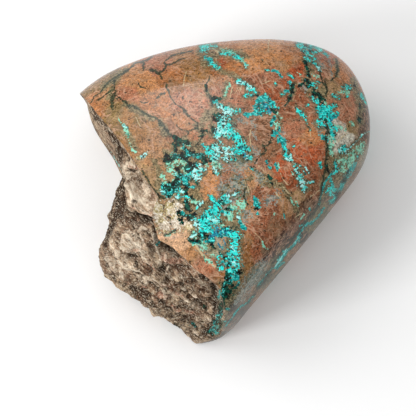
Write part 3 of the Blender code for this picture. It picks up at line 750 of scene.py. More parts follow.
# %% Teal, malachite and black spots
TEAL = (
    (1.6, 331, 180, 333, 188), (2.2, 211, 196, 213, 199), (2.2, 255, 200, 256, 206),
    (2.2, 258, 203, 259, 207), (1.4, 257, 213, 259, 213), (2.2, 259, 96, 264, 97), (2.8, 264, 97, 268, 101),
    (3.2, 269, 101, 272, 104), (3.0, 263, 102, 263, 109), (2.2, 268, 105, 268, 110),
    (1.8, 262, 114, 254, 113), (1.3, 255, 110, 259, 109), (0.9, 254, 106, 262, 106),
    (1.6, 274, 117, 274, 121), (1.4, 272, 120, 271, 126), (1.2, 280, 126, 279, 130),
    (1.8, 275, 132, 275, 136), (1.6, 272, 135, 274, 137), (2.6, 280, 138, 284, 141),
    (1.6, 278, 139, 279, 141), (2.4, 282, 143, 284, 147), (2.0, 283, 147, 285, 148),
    (1.5, 276, 164, 278, 170), (1.4, 266, 161, 268, 164), (1.2, 268, 165, 270, 168),
    (1.8, 285, 91, 288, 92), (3.4, 320, 108, 324, 118), (3.0, 327, 113, 333, 117),
    (2.4, 321, 136, 325, 138), (1.6, 324, 139, 327, 139), (1.4, 329, 121, 331, 123),
    (2.0, 334, 117, 337, 116), (1.5, 318, 104, 317, 100), (1.5, 342, 147, 345, 146),
    (2.4, 206, 58, 210, 60), (1.2, 272, 71, 276, 71), (1.3, 277, 72, 282, 77), (1.8, 289, 82, 291, 85),
    (2.6, 303, 48, 307, 51), (2.0, 308, 49, 313, 46), (1.3, 324, 53, 328, 56), (0.8, 307, 75, 308, 76),
    (0.9, 305, 79, 305, 82), (1.8, 355, 164, 352, 170), (2.2, 350, 171, 346, 178),
    (2.0, 343, 183, 340, 190), (1.5, 336, 196, 333, 202),
    (0.8, 332, 174, 328, 178, 325, 183, 323, 188, 321, 196, 319, 205), (1.6, 217, 316, 214, 327, 209, 334),
    (0.8, 300, 226, 306, 224), (1.5, 300, 237, 294, 245, 288, 250, 284, 255),
    (2.0, 285, 252, 280, 260, 276, 267), (0.8, 284, 262, 276, 268), (1.0, 324, 208, 317, 218, 311, 224),
    (1.3, 311, 222, 305, 226, 301, 231, 298, 237), (1.0, 272, 268, 264, 278, 258, 286),
    (0.9, 254, 295, 247, 303, 238, 309), (0.6, 238, 309, 233, 316, 226, 326), (1.2, 220, 290, 218, 300),
    (1.4, 218, 312, 219, 318), (1.4, 216, 322, 213, 328), (1.2, 157, 243, 158, 245),
    (1.1, 283, 213, 285, 218), (1.2, 309.5, 209, 310, 210), (1.4, 298, 42, 303, 43),
    (2.0, 257, 102, 263, 97), (1.8, 214, 102, 216, 102), (1.6, 219, 117, 221, 119),
    (1.3, 238, 146, 244, 148), (1.5, 240, 149, 246, 149), (1.4, 234, 153, 238, 152),
    (1.5, 255, 112, 262, 112), (1.2, 244, 114, 252, 114), (1.2, 244, 116, 248, 117),
    (0.8, 255, 106, 262, 106), (1.6, 256, 109, 258, 112), (1.4, 234, 154, 236, 158),
    (2.0, 174, 155, 178, 157), (2.2, 180, 157, 186, 157), (1.8, 186, 152, 189, 155),
    (2.0, 190, 154, 196, 156), (1.8, 197, 155, 203, 156), (1.5, 202, 143, 203, 146),
    (1.6, 189, 166, 190, 169), (1.4, 186, 168, 188, 170), (3.2, 182, 177, 186, 179),
    (3.0, 183, 182, 186, 184), (2.0, 186, 180, 187, 185), (2.8, 168, 187, 173, 188),
    (3.2, 166, 192, 169, 194), (2.2, 173, 191, 176, 190), (1.8, 175, 187, 178, 186),
    (2.0, 178, 194, 180, 197), (1.5, 193, 187, 195, 187), (1.4, 184, 149, 183, 145),
    (1.4, 176, 183, 180, 182), (1.3, 186, 200, 187, 204), (1.6, 213, 200, 216, 206),
    (2.0, 219, 201, 222, 204), (1.6, 224, 199, 226, 203), (1.4, 229, 208, 232, 210),
    (1.4, 221, 211, 223, 212), (4.2, 202, 222, 205, 225), (2.6, 204, 218, 207, 217),
    (2.6, 201, 229, 204, 230), (1.5, 200, 231, 202, 236), (3.0, 216, 235, 220, 234),
    (3.4, 222, 232, 227, 231), (2.0, 222, 236, 226, 235), (1.2, 215, 227, 218, 229),
    (2.4, 211, 229, 213, 234), (1.3, 201, 240, 203, 241), (1.8, 194, 242, 197, 242),
    (1.2, 222, 246, 223, 248), (1.6, 206, 241, 213, 242), (1.8, 240, 222, 245, 229),
    (2.0, 228, 278, 230, 283), (2.8, 231, 275, 237, 277), (2.4, 229, 280, 234, 279),
    (2.0, 226, 284, 228, 282), (1.6, 226, 265, 223, 262), (1.4, 237, 285, 240, 282),
    (1.8, 182, 212, 185, 216), (1.4, 188, 216, 190, 218), (1.5, 223, 288, 222, 296),
    (1.2, 226, 309, 229, 309), (1.7, 222, 309, 220, 318), (1.8, 218, 317, 215, 325),
    (2.2, 214, 325, 218, 328), (2.4, 213, 331, 217, 333), (1.4, 210, 330, 212, 334),
    (1.1, 216, 320, 213, 327), (1.6, 180, 327, 184, 330), (1.8, 191, 325, 195, 328),
    (1.2, 186, 329, 190, 333), (1.0, 222, 322, 226, 322),
)
AZURE = (
    (3.2, 212, 236, 219, 233), (3.0, 222, 232, 229, 230), (1.6, 208, 238, 214, 240),
    (1.5, 216, 226, 219, 229), (1.6, 213, 128, 218, 134), (1.8, 264, 104, 270, 112),
    (2.0, 240, 146, 246, 156), (1.4, 330, 121, 333, 117), (1.2, 218, 244, 222, 250),
    (1.0, 224, 240, 226, 246),
)
MALACHITE = (
    (1.6, 222, 50, 229, 51, 236, 54), (1.5, 242, 60, 246, 65), (1.2, 214, 64, 217, 69),
    (2.6, 172, 157, 179, 162), (1.6, 182, 168, 188, 174), (1.0, 119, 118, 122, 124),
    (1.6, 123, 125, 126, 130), (1.2, 126, 128, 128.5, 134), (0.7, 128, 134, 129, 142, 132, 150),
    (1.5, 205, 161, 207, 164), (3.2, 214, 163, 217, 166), (1.3, 165, 235, 170, 233, 175, 230),
    (2.0, 274, 122, 277, 126), (0.8, 270, 114, 273, 118), (0.8, 277, 112, 279, 115),
    (1.0, 281, 118, 281, 120), (1.2, 277, 162, 279, 167), (1.0, 291, 198, 293, 204),
    (0.7, 292, 172, 294, 176), (2.6, 326, 104, 328, 107), (1.8, 336, 127, 342, 128),
    (2.6, 330, 138, 332, 145), (2.4, 331, 146, 331, 154), (2.6, 362, 144, 359, 152),
    (3.0, 352, 155, 349, 166), (3.0, 344, 160, 343, 170), (2.0, 340, 160, 338, 162),
    (1.3, 337, 94, 341, 91), (1.8, 343, 92, 348, 93), (1.2, 351, 123, 353, 125), (1.0, 346, 129, 346, 131),
    (1.2, 312, 76, 318, 77), (0.9, 297, 71, 300, 75), (1.2, 230, 84, 227, 90, 224, 97),
    (0.6, 262, 241, 264, 247, 268, 249), (0.9, 275, 213, 275, 215), (1.0, 297, 202, 298, 206),
    (1.0, 304, 214, 302, 218), (0.9, 132, 150, 136, 153), (0.7, 225, 136, 229, 134),
    (3.0, 176, 161, 181, 161), (2.0, 184, 161, 186, 160), (3.2, 169, 164, 173, 168),
    (1.6, 184, 163, 184, 168), (2.0, 176, 164, 178, 166), (2.2, 170, 170, 172, 169),
    (2.0, 174, 171, 176, 175), (1.6, 184, 170, 186, 173), (2.0, 174, 156, 176, 157),
    (2.2, 162, 176, 165, 181), (1.8, 164, 183, 166, 187), (1.8, 161, 190, 165, 193),
    (1.6, 173, 180, 176, 181), (1.5, 178, 176, 180, 174), (1.8, 205, 163, 208, 165),
    (3.4, 213, 162, 217, 166), (1.5, 182, 148, 184, 150), (1.6, 187, 143, 189, 145),
    (1.4, 186, 200, 192, 202), (2.0, 192, 201, 198, 203), (4.4, 240, 204, 243, 204),
    (3.0, 236, 208, 233, 207), (3.0, 226, 214, 229, 216), (1.8, 231, 214, 231, 219),
    (1.8, 216, 223, 222, 225), (1.3, 243, 226, 245, 228), (1.8, 193, 233, 196, 236),
    (2.4, 201, 243, 204, 247), (1.6, 209, 261, 212, 263), (1.5, 212, 256, 215, 257),
    (1.8, 205, 258, 207, 260), (1.6, 193, 243, 196, 244), (1.2, 222, 201, 225, 202),
)
BLACK_SPOTS = (
    (2.4, 221, 302, 220, 314), (2.0, 219, 318, 216, 326), (1.6, 214, 330, 212, 336),
    (2.0, 212, 98, 219, 99), (2.6, 214, 116, 220, 116), (2.6, 215, 120, 220, 119),
    (1.4, 213, 128, 213, 132), (1.4, 206, 131, 208, 133), (1.4, 235, 134, 237, 136),
    (2.0, 203, 158, 208, 161), (1.1, 228, 195, 228.5, 196), (1.4, 256, 209, 258, 209),
    (1.1, 256, 95, 258, 96), (1.4, 272, 110, 275, 112), (1.0, 276, 113, 277, 111),
    (0.9, 272, 131, 272, 133), (1.6, 268, 176, 271, 179), (1.0, 271, 183, 273, 185),
    (1.6, 293, 86, 291, 94), (1.3, 291, 95, 289, 100), (0.9, 288, 102, 285, 106), (2.4, 313, 90, 315, 96),
    (2.0, 318, 93, 320, 98), (2.4, 321, 99, 322, 104), (2.2, 322, 104, 321, 108), (1.4, 324, 99, 325, 101),
    (1.2, 327, 108, 328, 110), (1.2, 326, 112, 326, 114), (1.6, 305, 61, 306, 68), (1.5, 307, 69, 309, 76),
    (2.4, 306, 80, 309, 86), (1.9, 311, 51, 313, 51), (1.3, 304, 46, 306, 46), (1.2, 302, 51, 304, 52),
    (1.6, 346, 177, 344, 182), (1.4, 349, 171, 347, 174), (2.0, 338, 192, 336, 198),
    (1.4, 327, 166, 328, 172), (1.5, 324, 119, 326, 121), (1.4, 359, 118, 360, 122),
    (1.0, 359, 104, 360, 108), (1.2, 354, 84, 355, 87), (1.4, 299, 86, 303, 84), (1.0, 247, 203, 248, 204),
    (1.4, 206, 86, 206, 90), (1.6, 212, 98, 219, 99), (2.4, 215, 115, 219, 115), (3.0, 214, 118, 221, 118),
    (2.2, 216, 120, 221, 120), (1.6, 213, 128, 214, 132), (1.3, 223, 108, 224, 107),
    (2.0, 201, 136, 203, 131), (1.2, 235.5, 134, 236.5, 137), (2.4, 174, 137, 182, 142.5),
    (2.0, 178, 140, 182, 142), (1.5, 177, 144, 179, 145), (1.5, 184, 147, 186, 149),
    (2.2, 186, 143, 188, 142), (2.2, 173, 143, 176, 150), (1.9, 187, 151, 193, 153),
    (2.2, 171, 159, 176, 157), (2.4, 177, 156, 186, 158), (1.8, 182, 154, 190, 155),
    (2.4, 196, 154, 202, 158), (2.6, 202, 158, 207, 161), (2.0, 204, 162, 210, 161),
    (1.8, 168, 157, 166, 155), (2.0, 163, 161, 169, 160), (3.0, 190, 163, 193, 167),
    (2.0, 187, 167, 192, 169), (1.4, 180, 164, 182, 167), (1.3, 174, 166, 176, 168),
    (1.6, 184, 168, 186, 170), (2.0, 178, 170, 180, 176), (2.4, 177, 179, 180, 183),
    (3.0, 172, 184, 177, 184), (2.4, 165, 188, 172, 188), (2.2, 173, 188, 177, 189),
    (1.8, 171, 194, 169, 196), (2.0, 186, 187, 188, 188), (0.9, 188, 178, 189, 184),
    (1.4, 191, 197, 193, 199), (1.0, 196, 183, 198, 185), (1.4, 184, 191, 187, 194),
    (1.6, 186, 200, 187, 206), (3.2, 180, 213, 184, 216), (2.4, 180, 219, 183, 223),
    (2.8, 188, 217, 193, 216), (1.8, 186, 209, 190, 211), (1.4, 188, 204, 189, 208),
    (1.4, 219, 204, 224, 204), (1.3, 220, 201, 222, 201), (1.2, 226, 209, 229, 209),
    (1.6, 201, 219, 204, 218), (1.0, 211, 213, 213, 212), (1.2, 228, 228, 225, 229),
    (1.3, 231, 243, 233, 244), (1.2, 236, 254, 236.5, 256), (2.6, 200, 236, 207, 237),
    (1.8, 194, 240, 199, 241), (1.4, 203, 233, 206, 232), (1.4, 190, 240, 193, 243),
    (1.6, 212, 244, 214, 248), (1.2, 224, 257, 225, 262), (1.4, 229, 262, 228, 267),
    (1.0, 232, 257, 233, 258), (1.0, 229, 275, 230, 277), (2.2, 228, 272, 227, 281),
    (2.2, 233, 272, 240, 272), (2.8, 225, 283, 224, 292), (2.4, 231, 284, 235, 288),
    (3.0, 224, 294, 227, 296), (3.0, 224, 297, 222, 306), (2.6, 221, 306, 220, 314),
    (2.4, 221, 315, 221, 324), (2.0, 217, 330, 220, 326), (2.0, 208, 335, 213, 335),
    (2.4, 228, 290, 232, 292), (1.2, 203, 307, 207, 309), (1.4, 192, 324, 195, 327),
    (1.6, 176, 321, 182, 328),
)
print("teal", len(TEAL), "malachite", len(MALACHITE), "black", len(BLACK_SPOTS), "strokes")

# %% [markdown]
# Cream calcite lines the edges of the veins, and olive matrix fills the seams between the lumps of
# jasper, where the rock has weathered. Haze is a thin speckle of blue-grey quartz over the jasper.

# %% Cream, olive and haze
CREAM = (
    (1.5, 213, 48, 219, 53, 226, 54), (2.0, 229, 55, 240, 61), (1.8, 241, 58, 246, 65),
    (1.3, 245, 63, 247, 67), (1.0, 216, 60, 217, 65, 220, 68), (0.7, 233, 85, 231, 92, 230, 98),
    (0.7, 238, 88, 235, 93), (0.6, 242, 85, 240, 91), (0.5, 186, 72, 185, 78, 183, 86),
    (1.6, 137, 158, 142, 158, 146, 155), (0.6, 279, 171, 284, 180, 288, 185), (0.6, 283, 187, 289, 194),
    (0.5, 275, 192, 281, 199), (0.5, 311, 197, 316, 193, 320, 190),
    (1.3, 196, 246, 200, 251, 204, 256, 208, 261), (1.9, 209, 262, 214, 266), (1.5, 218, 228, 222, 229),
    (3.0, 187, 227, 193, 227), (0.6, 310, 128, 311, 135), (0.8, 337, 143, 339, 140, 343, 136, 347, 134),
    (0.6, 269, 40, 268, 50), (0.5, 262, 60, 268, 64), (0.5, 302, 213, 296, 217), (0.5, 254, 232, 262, 240),
    (0.5, 247, 187, 250, 195), (0.6, 331, 184, 328, 190), (1.2, 171, 196, 178, 193),
    (0.6, 258, 166, 265, 172), (0.5, 136, 118, 140, 126), (0.5, 198, 92, 204, 96),
    (0.6, 262, 84, 270, 81, 276, 82), (0.6, 250, 130, 251, 145),
)
OLIVE = (
    (3.0, 106, 130, 112, 142), (2.2, 282, 186, 290, 200, 298, 214), (2.0, 240, 182, 252, 178),
    (3.4, 207, 92, 211, 100, 214, 107, 213, 113), (4.4, 210, 115, 204, 120, 200, 124),
    (4.0, 199, 128, 203, 134, 200, 142), (3.4, 212, 124, 213, 134), (6.0, 178, 146, 176, 152),
    (5.0, 188, 147, 186, 142), (5.0, 195, 147, 192, 152), (4.0, 197, 194, 200, 198),
    (3.0, 190, 191, 192, 194), (3.4, 176, 200, 183, 202), (5.4, 194, 234, 197, 237),
    (5.4, 204, 236, 207, 238), (6.0, 205, 245, 209, 250), (5.4, 197, 211, 202, 215),
    (5.0, 187, 201, 192, 207), (4.0, 206, 205, 204, 208), (4.4, 232, 210, 238, 215),
    (3.4, 231, 222, 228, 217), (4.0, 239, 227, 235, 222), (5.0, 226, 222, 220, 228),
    (4.0, 232, 284, 238, 281), (3.0, 255, 172, 263, 177), (4.0, 262, 178, 270, 184),
    (3.0, 272, 184, 282, 186), (2.6, 293, 84, 293, 92, 290, 99), (4.0, 309, 92, 318, 95),
    (3.6, 323, 92, 322, 97), (3.8, 329, 148, 329, 166), (4.0, 331, 168, 327, 178),
    (3.4, 325, 182, 323, 198), (3.2, 354, 80, 356, 90), (3.0, 357, 94, 360, 104), (3.0, 360, 104, 361, 111),
    (3.0, 359, 117, 360, 123), (5.0, 356, 148, 349, 160), (6.0, 348, 162, 343, 176),
    (5.0, 342, 178, 337, 190), (4.0, 332, 158, 336, 168), (3.4, 325, 203, 318, 212),
    (5.0, 316, 214, 308, 226), (4.6, 200, 53, 206, 58), (3.6, 206, 52, 215, 57), (3.4, 200, 60, 206, 64),
    (2.6, 217, 69, 228, 73, 235, 77), (2.6, 235, 77, 240, 80), (3.6, 305, 59, 308, 66, 310, 75),
    (4.6, 306, 80, 311, 87), (2.0, 336, 60, 338, 70, 336, 77), (2.6, 226, 84, 223, 97),
    (3.0, 126, 70, 113, 80, 103, 88), (3.0, 125, 104, 140, 112, 152, 119), (3.6, 160, 123, 166, 133),
    (2.4, 217, 49, 226, 50, 236, 52), (2.4, 240, 52, 247, 57), (2.6, 277, 116, 281, 124),
    (3.0, 244, 184, 247, 194), (4.0, 236, 180, 240, 192), (3.0, 228, 186, 222, 192),
    (2.6, 160, 175, 156, 186), (3.4, 154, 160, 160, 172), (3.0, 135, 148, 126, 132),
    (3.0, 222, 285, 221, 305), (3.0, 166, 152, 168, 158), (2.0, 112, 88, 108, 98),
    (2.4, 158, 186, 160, 192), (3.0, 213, 106, 216, 110), (2.4, 330, 178, 334, 186),
    (7.0, 172, 164, 182, 170, 178, 184), (5.0, 168, 186, 172, 192), (5.0, 188, 158, 200, 158),
    (5.0, 190, 168, 188, 180), (5.0, 184, 208, 190, 214), (5.0, 232, 286, 230, 296),
    (4.0, 222, 290, 219, 318), (3.0, 238, 275, 242, 273), (5.0, 226, 300, 220, 326),
    (4.0, 238, 284, 232, 298), (4.0, 196, 188, 186, 196),
)
HAZE = (
    (4.0, 236, 162, 240, 168), (4.0, 196, 242, 204, 250), (3.0, 198, 212, 202, 216),
    (5.0, 240, 186, 242, 194), (4.0, 226, 190, 230, 192), (1.6, 329, 57, 331, 70), (1.6, 331, 71, 332, 77),
    (7.0, 230, 164, 240, 168), (5.0, 246, 164, 252, 160), (6.0, 240, 176, 234, 184),
    (4.4, 222, 182, 220, 188), (5.0, 228, 206, 224, 208), (4.0, 211, 231, 213, 236),
    (2.4, 282, 130, 283, 135), (2.4, 300, 84, 306, 90), (3.6, 318, 60, 322, 66), (5.0, 268, 202, 276, 196),
    (5.0, 248, 212, 244, 218), (3.0, 252, 120, 253, 126), (1.2, 253, 132, 256, 139),
    (5.0, 264, 264, 256, 274, 246, 288, 240, 298), (2.0, 238, 300, 236, 304), (4.0, 258, 174, 262, 182),
    (3.0, 218, 240, 222, 246), (3.0, 226, 256, 224, 262), (4.0, 320, 130, 318, 122),
    (3.4, 252, 148, 256, 154), (3.0, 238, 120, 246, 122), (3.0, 218, 160, 222, 168),
    (4.0, 234, 196, 230, 206),
)
print("cream", len(CREAM), "olive", len(OLIVE), "haze", len(HAZE), "strokes")

# %% [markdown]
# ## Colours of the jasper
# The jasper is many lumps, each its own shade from tan through rose to brick red, grown together. A
# list of patches says where each shade lies in the picture and how far it spreads. Every point of the
# skin takes the shades of the patches round it, the nearest ones most.

# %% Shades and patches
LIGHT_ON_STONE = 1.32
JASPER_TONE = np.array((0.93, 0.86, 0.67))
PATCH_CORE, PATCH_SHARPNESS = 0.05, 5


def shade(red, green, blue):
    """The paint that looks like this colour, given from 0 to 255, in the studio's light."""
    c = np.array((red, green, blue)) / 255
    return np.where(c <= 0.04045, c / 12.92, ((c + 0.055) / 1.055) ** 2.4) / LIGHT_ON_STONE


SHADES = {
    "tan": shade(184, 138, 104), "sand": shade(176, 146, 114), "orange_tan": shade(190, 128, 88),
    "dusty_rose": shade(186, 124, 102), "brick": shade(182, 94, 62), "deep_brick": shade(166, 88, 56),
    "red_brown": shade(158, 98, 74), "brown": shade(146, 100, 76), "dark_brown": shade(118, 78, 60),
    "mauve": shade(162, 118, 102), "ochre": shade(150, 100, 58), "grey_green": shade(132, 134, 118),
    "olive_brown": shade(112, 92, 66), "apricot": shade(210, 150, 108), "pale_rose": shade(234, 192, 166),
    "dust": shade(150, 128, 92), "moss": shade(78, 92, 70), "slate": shade(98, 106, 92),
    "umber": shade(88, 60, 42), "pale_grey": shade(222, 226, 232), "khaki": shade(138, 110, 68),
    "sienna": shade(168, 122, 78), "celadon": shade(172, 180, 168), "pine": shade(22, 44, 36),
    "cocoa": shade(64, 34, 12),
}
# The shade, how many pixels it spreads, and the pixel in its middle
PATCHES = (
    ("grey_green", 6, 236, 160), ("sand", 7, 230, 53), ("sand", 6, 296, 196), ("pine", 6, 222, 304),
    ("umber", 5, 214, 279), ("pine", 5, 213, 328), ("khaki", 8, 92, 86), ("tan", 7, 100, 96),
    ("khaki", 7, 112, 76), ("orange_tan", 7, 96, 100), ("apricot", 8, 130, 80), ("apricot", 8, 145, 84),
    ("dusty_rose", 7, 128, 92), ("dusty_rose", 8, 155, 66), ("apricot", 6, 145, 76),
    ("orange_tan", 6, 178, 76), ("ochre", 7, 176, 86), ("orange_tan", 5, 163, 76), ("sienna", 8, 190, 68),
    ("sienna", 7, 197, 80), ("orange_tan", 8, 205, 50), ("dusty_rose", 8, 180, 100),
    ("dusty_rose", 9, 196, 100), ("dusty_rose", 8, 200, 112), ("orange_tan", 8, 160, 104),
    ("orange_tan", 7, 180, 119), ("orange_tan", 6, 150, 102), ("orange_tan", 7, 158, 112),
    ("sienna", 8, 128, 114), ("sienna", 6, 150, 126), ("sienna", 9, 136, 134), ("tan", 9, 150, 146),
    ("tan", 8, 160, 158), ("dust", 6, 118, 112), ("brown", 7, 172, 128), ("sand", 8, 146, 172),
    ("sand", 7, 154, 186), ("tan", 7, 150, 160), ("apricot", 6, 208, 178), ("apricot", 7, 208, 188),
    ("orange_tan", 9, 232, 66), ("brick", 5, 222, 64), ("apricot", 9, 250, 50), ("apricot", 9, 270, 54),
    ("orange_tan", 8, 288, 56), ("apricot", 7, 262, 64), ("tan", 6, 282, 64), ("dusty_rose", 7, 270, 74),
    ("brick", 6, 296, 74), ("red_brown", 8, 262, 84), ("deep_brick", 7, 276, 92),
    ("deep_brick", 6, 262, 92), ("dusty_rose", 7, 240, 98), ("red_brown", 6, 250, 104),
    ("dusty_rose", 6, 232, 92), ("mauve", 9, 244, 124), ("brown", 9, 256, 128), ("mauve", 8, 252, 142),
    ("red_brown", 7, 288, 116), ("red_brown", 8, 300, 104), ("dusty_rose", 8, 296, 128),
    ("orange_tan", 8, 308, 138), ("brick", 9, 300, 152), ("brick", 8, 312, 156),
    ("deep_brick", 8, 302, 166), ("brick", 6, 282, 162), ("brown", 7, 268, 150), ("brick", 7, 284, 172),
    ("deep_brick", 7, 292, 184), ("mauve", 7, 260, 166), ("red_brown", 6, 312, 174), ("brown", 7, 312, 188),
    ("tan", 6, 286, 210), ("umber", 7, 308, 208), ("dark_brown", 7, 304, 214), ("red_brown", 8, 264, 196),
    ("red_brown", 8, 272, 206), ("tan", 7, 284, 202), ("red_brown", 9, 266, 216),
    ("red_brown", 6, 251, 226), ("brown", 8, 276, 228), ("dark_brown", 8, 290, 226), ("cocoa", 8, 284, 238),
    ("red_brown", 8, 262, 240), ("ochre", 8, 244, 242), ("ochre", 8, 244, 256), ("khaki", 7, 114, 130),
    ("umber", 5, 110, 138), ("khaki", 5, 138, 120), ("red_brown", 7, 256, 252), ("sienna", 7, 243, 268),
    ("dusty_rose", 8, 226, 166), ("mauve", 8, 236, 178), ("tan", 7, 252, 178), ("tan", 6, 264, 178),
    ("mauve", 7, 226, 192), ("brown", 6, 240, 190), ("tan", 7, 246, 212), ("sand", 7, 224, 242),
    ("celadon", 6, 216, 246), ("pale_rose", 7, 170, 240), ("pale_rose", 6, 184, 244), ("tan", 7, 190, 252),
    ("dusty_rose", 7, 204, 268), ("ochre", 6, 218, 276), ("red_brown", 6, 212, 274), ("mauve", 7, 322, 62),
    ("brick", 6, 324, 60), ("dusty_rose", 5, 318, 76), ("sand", 7, 334, 90), ("orange_tan", 7, 344, 78),
    ("orange_tan", 6, 342, 70), ("dusty_rose", 7, 338, 104), ("dusty_rose", 7, 346, 116),
    ("dusty_rose", 6, 352, 106), ("pale_grey", 6, 340, 126), ("dust", 7, 352, 128), ("umber", 7, 364, 124),
    ("cocoa", 6, 366, 112), ("umber", 6, 366, 132), ("pale_grey", 5, 342, 143),
    ("olive_brown", 6, 356, 144), ("grey_green", 7, 350, 158), ("grey_green", 7, 356, 152),
    ("olive_brown", 6, 348, 170), ("olive_brown", 6, 338, 178), ("brown", 5, 330, 176),
    ("cocoa", 6, 326, 196), ("moss", 7, 320, 212), ("pine", 6, 306, 236), ("moss", 6, 312, 224),
    ("olive_brown", 8, 290, 252), ("moss", 8, 276, 266), ("slate", 8, 258, 276),
    ("olive_brown", 8, 246, 294), ("pine", 9, 234, 310), ("pine", 8, 228, 322), ("cocoa", 6, 268, 254),
    ("orange_tan", 8, 230, 44), ("pale_grey", 7, 347, 138),
)
HIDDEN_SHADES = ("dusty_rose", "orange_tan", "brick", "tan", "red_brown", "mauve", "brown")
# The size of the hidden sides' lumps, their shift from shade to shade, and how much they count
HIDDEN_LUMPS = ((11.0, 31, 1.0), (5.0, -17, 0.4))
HIDDEN_SHARPNESS = 9


def painted_shades(at):
    """The mix of the patches' shades at each pixel."""
    total, weights = np.zeros((len(at), 3)), np.full((len(at), 1), 1e-9)
    for name, size, x, y in PATCHES:
        away = ((at[:, 0] - x) ** 2 + (at[:, 1] - y) ** 2) / size ** 2
        weight = (1 / (PATCH_CORE + away ** PATCH_SHARPNESS))[:, None]
        total += weight * SHADES[name]
        weights += weight
    return total / weights


def hidden_shades(p):
    """Lumps of the same shades, all through the stone, for the sides that the picture doesn't show."""
    total, weights = np.zeros((len(p), 3)), np.full((len(p), 1), 1e-9)
    for i, name in enumerate(HIDDEN_SHADES):
        lump = sum(share * smooth_noise(p / size + shift * i) for size, shift, share in HIDDEN_LUMPS)
        weight = np.exp(HIDDEN_SHARPNESS * lump)[:, None]
        total += weight * SHADES[name]
        weights += weight
    return total / weights


seen_shade = painted_shades(pixels + SHADE_WOBBLE_PX * wobble)
jasper_shade = JASPER_TONE * (seen[:, None] * seen_shade + (1 - seen[:, None]) * hidden_shades(points))
print("patches", len(PATCHES), "mean shade", jasper_shade.mean(0).round(3))

# %% [markdown]
# ## One set of numbers for every point
# Each mineral gets one number per point: 1 in the middle of a stroke, 0 at its edge, below zero away
# from it. On the hidden sides the number comes from noise folded at zero, which gives winding sheets,
# as cracks are. A second, wider noise leaves most of each sheet empty, because the minerals of a real
# stone lie in patches. The veins keep their signed distance as well.

# %% Fields
# The strokes, the size of the hidden sheets' folds and half their width in mm, and a seed for them
VEIN_FIELDS = {"dark_vein_and_shadow_line": (DARK_VEINS_AND_SHADOW_LINE, 15.0, 0.45, 3.0), "cream_vein": (CREAM, 11.0, 0.35, 71.0)}
CRUST_FIELDS = {
    "pale": (PALE, 17.0, 0.35, 5.1), "bright": (BRIGHT, 17.0, 0.6, 5.0), "teal": (TEAL, 17.0, 0.6, 5.4),
    "azure": (AZURE, 17.0, 0.3, 5.3), "malachite": (MALACHITE, 17.0, 0.5, 4.6),
    "black": (BLACK_SPOTS, 17.0, 0.35, 5.2), "olive": (OLIVE, 15.0, 1.2, 3.0),
    "haze": (HAZE, 12.0, 0.8, 44.0),
}
SHEET_FINER, SHEET_FINER_SHARE, SHEET_SLOPE = 2.3, 0.35, 1.6
PATCHES_OF_MINERAL, PATCH_EDGE, PATCH_LEVEL, PATCH_SHIFT = 14.0, 8.0, 0.02, 3.7
HIDDEN_CRUST_LEVEL = 0.35


def hidden_sheet(p, size, half_width, seed):
    """Signed distance to winding sheets through the stone, in half widths."""
    height = smooth_noise(p / size + seed) + SHEET_FINER_SHARE * smooth_noise(p / size * SHEET_FINER - seed)
    return height * size / SHEET_SLOPE / half_width


def patchiness(p, seed):
    """Above zero where a mineral occurs on the hidden sides, below zero where it is missing."""
    return PATCH_EDGE * (smooth_noise(p / PATCHES_OF_MINERAL - round(seed) * PATCH_SHIFT) - PATCH_LEVEL)


fields = {}
for name, (strokes, size, half_width, seed) in VEIN_FIELDS.items():
    signed, plain = nearest_stroke(strokes, vein_pixels)
    hidden = hidden_sheet(points, size, half_width, seed)
    absent = np.where(patchiness(points, seed) > 0, 0, FAR_AWAY)
    fields[name] = np.stack([seen * signed + (1 - seen) * hidden,
                             seen * plain + (1 - seen) * (np.abs(hidden) + absent),
                             np.zeros(len(points))], 1)
for name, (strokes, size, half_width, seed) in CRUST_FIELDS.items():
    _, plain = nearest_stroke(strokes, vein_pixels)
    sheet = np.abs(hidden_sheet(points, size, half_width, seed)) - np.minimum(patchiness(points, seed), 0)
    hidden = np.maximum(1 - HIDDEN_CRUST_LEVEL - sheet, -FAR_AWAY)
    fields[name] = seen * (1 - plain) + (1 - seen) * hidden
print("fields:", ", ".join(fields))

# %% [markdown]
# The broken side has sugary cream quartz on the raised lobes and rose and brown rock between. Near-black
# painted shade lies in the hollows. A height made from the carving and the relief puts painted highlight
# on the crests and painted shade in the low places. They come from the same strokes that carved it.
# Rough grain also shows in the small hollow of the polished face, where the polish didn't reach.

# %% Fields of the broken side
# How the carving and the relief make the height that places painted highlight and painted shade
SHADING_FROM_CARVING, SHADING_LOWEST, SHADING_FROM_RELIEF = 0.6, -1.5, 0.8
ROUGH_PATCH = (
    (2.4, 137, 158, 142, 157), (8.0, 157, 206, 160, 216, 164, 226), (8.0, 170, 206, 176, 214, 178, 224),
    (4.0, 186, 224, 191, 228), (2.6, 176, 202, 182, 206),
)
ROCK_FIELDS = {
    "pale_rock": PALE_ROCK, "shaded_hollow": SHADED_HOLLOWS, "rosy_rock": ROSY_ROCK, "brown_rock": BROWN_ROCK,
}
for name, strokes in ROCK_FIELDS.items():
    fields[name] = 1 - nearest_stroke(strokes, rock_pixels)[1]
_, away_from_rough = nearest_stroke(ROUGH_PATCH, pixels + ROUGH_WOBBLE_PX * wobble)
fields["rough_patch"] = np.where(seen > 0.5, 1 - away_from_rough, -FAR_AWAY)
# Height for the painted highlight on the crests and the painted shade in the low places of the break
shading_height = SHADING_FROM_CARVING * np.clip(carved, SHADING_LOWEST, 1)
shading_height += SHADING_FROM_RELIEF * relief(points, LARGE_RELIEF)
fields["shading_height"] = np.where(is_broken, shading_height, 0)
print("rough patch covers", int((fields["rough_patch"] > 0).sum()), "points")

# %% [markdown]
# ## The stone's mesh
# Now the points and triangles become a Blender mesh, with three material slots: the polish, the
# broken side and the sawn back. Every field goes in as an attribute that the materials can read.

# %% Build the mesh
POLISHED, BROKEN, SAWN = range(3)
SHARP_FROM = math.radians(50)


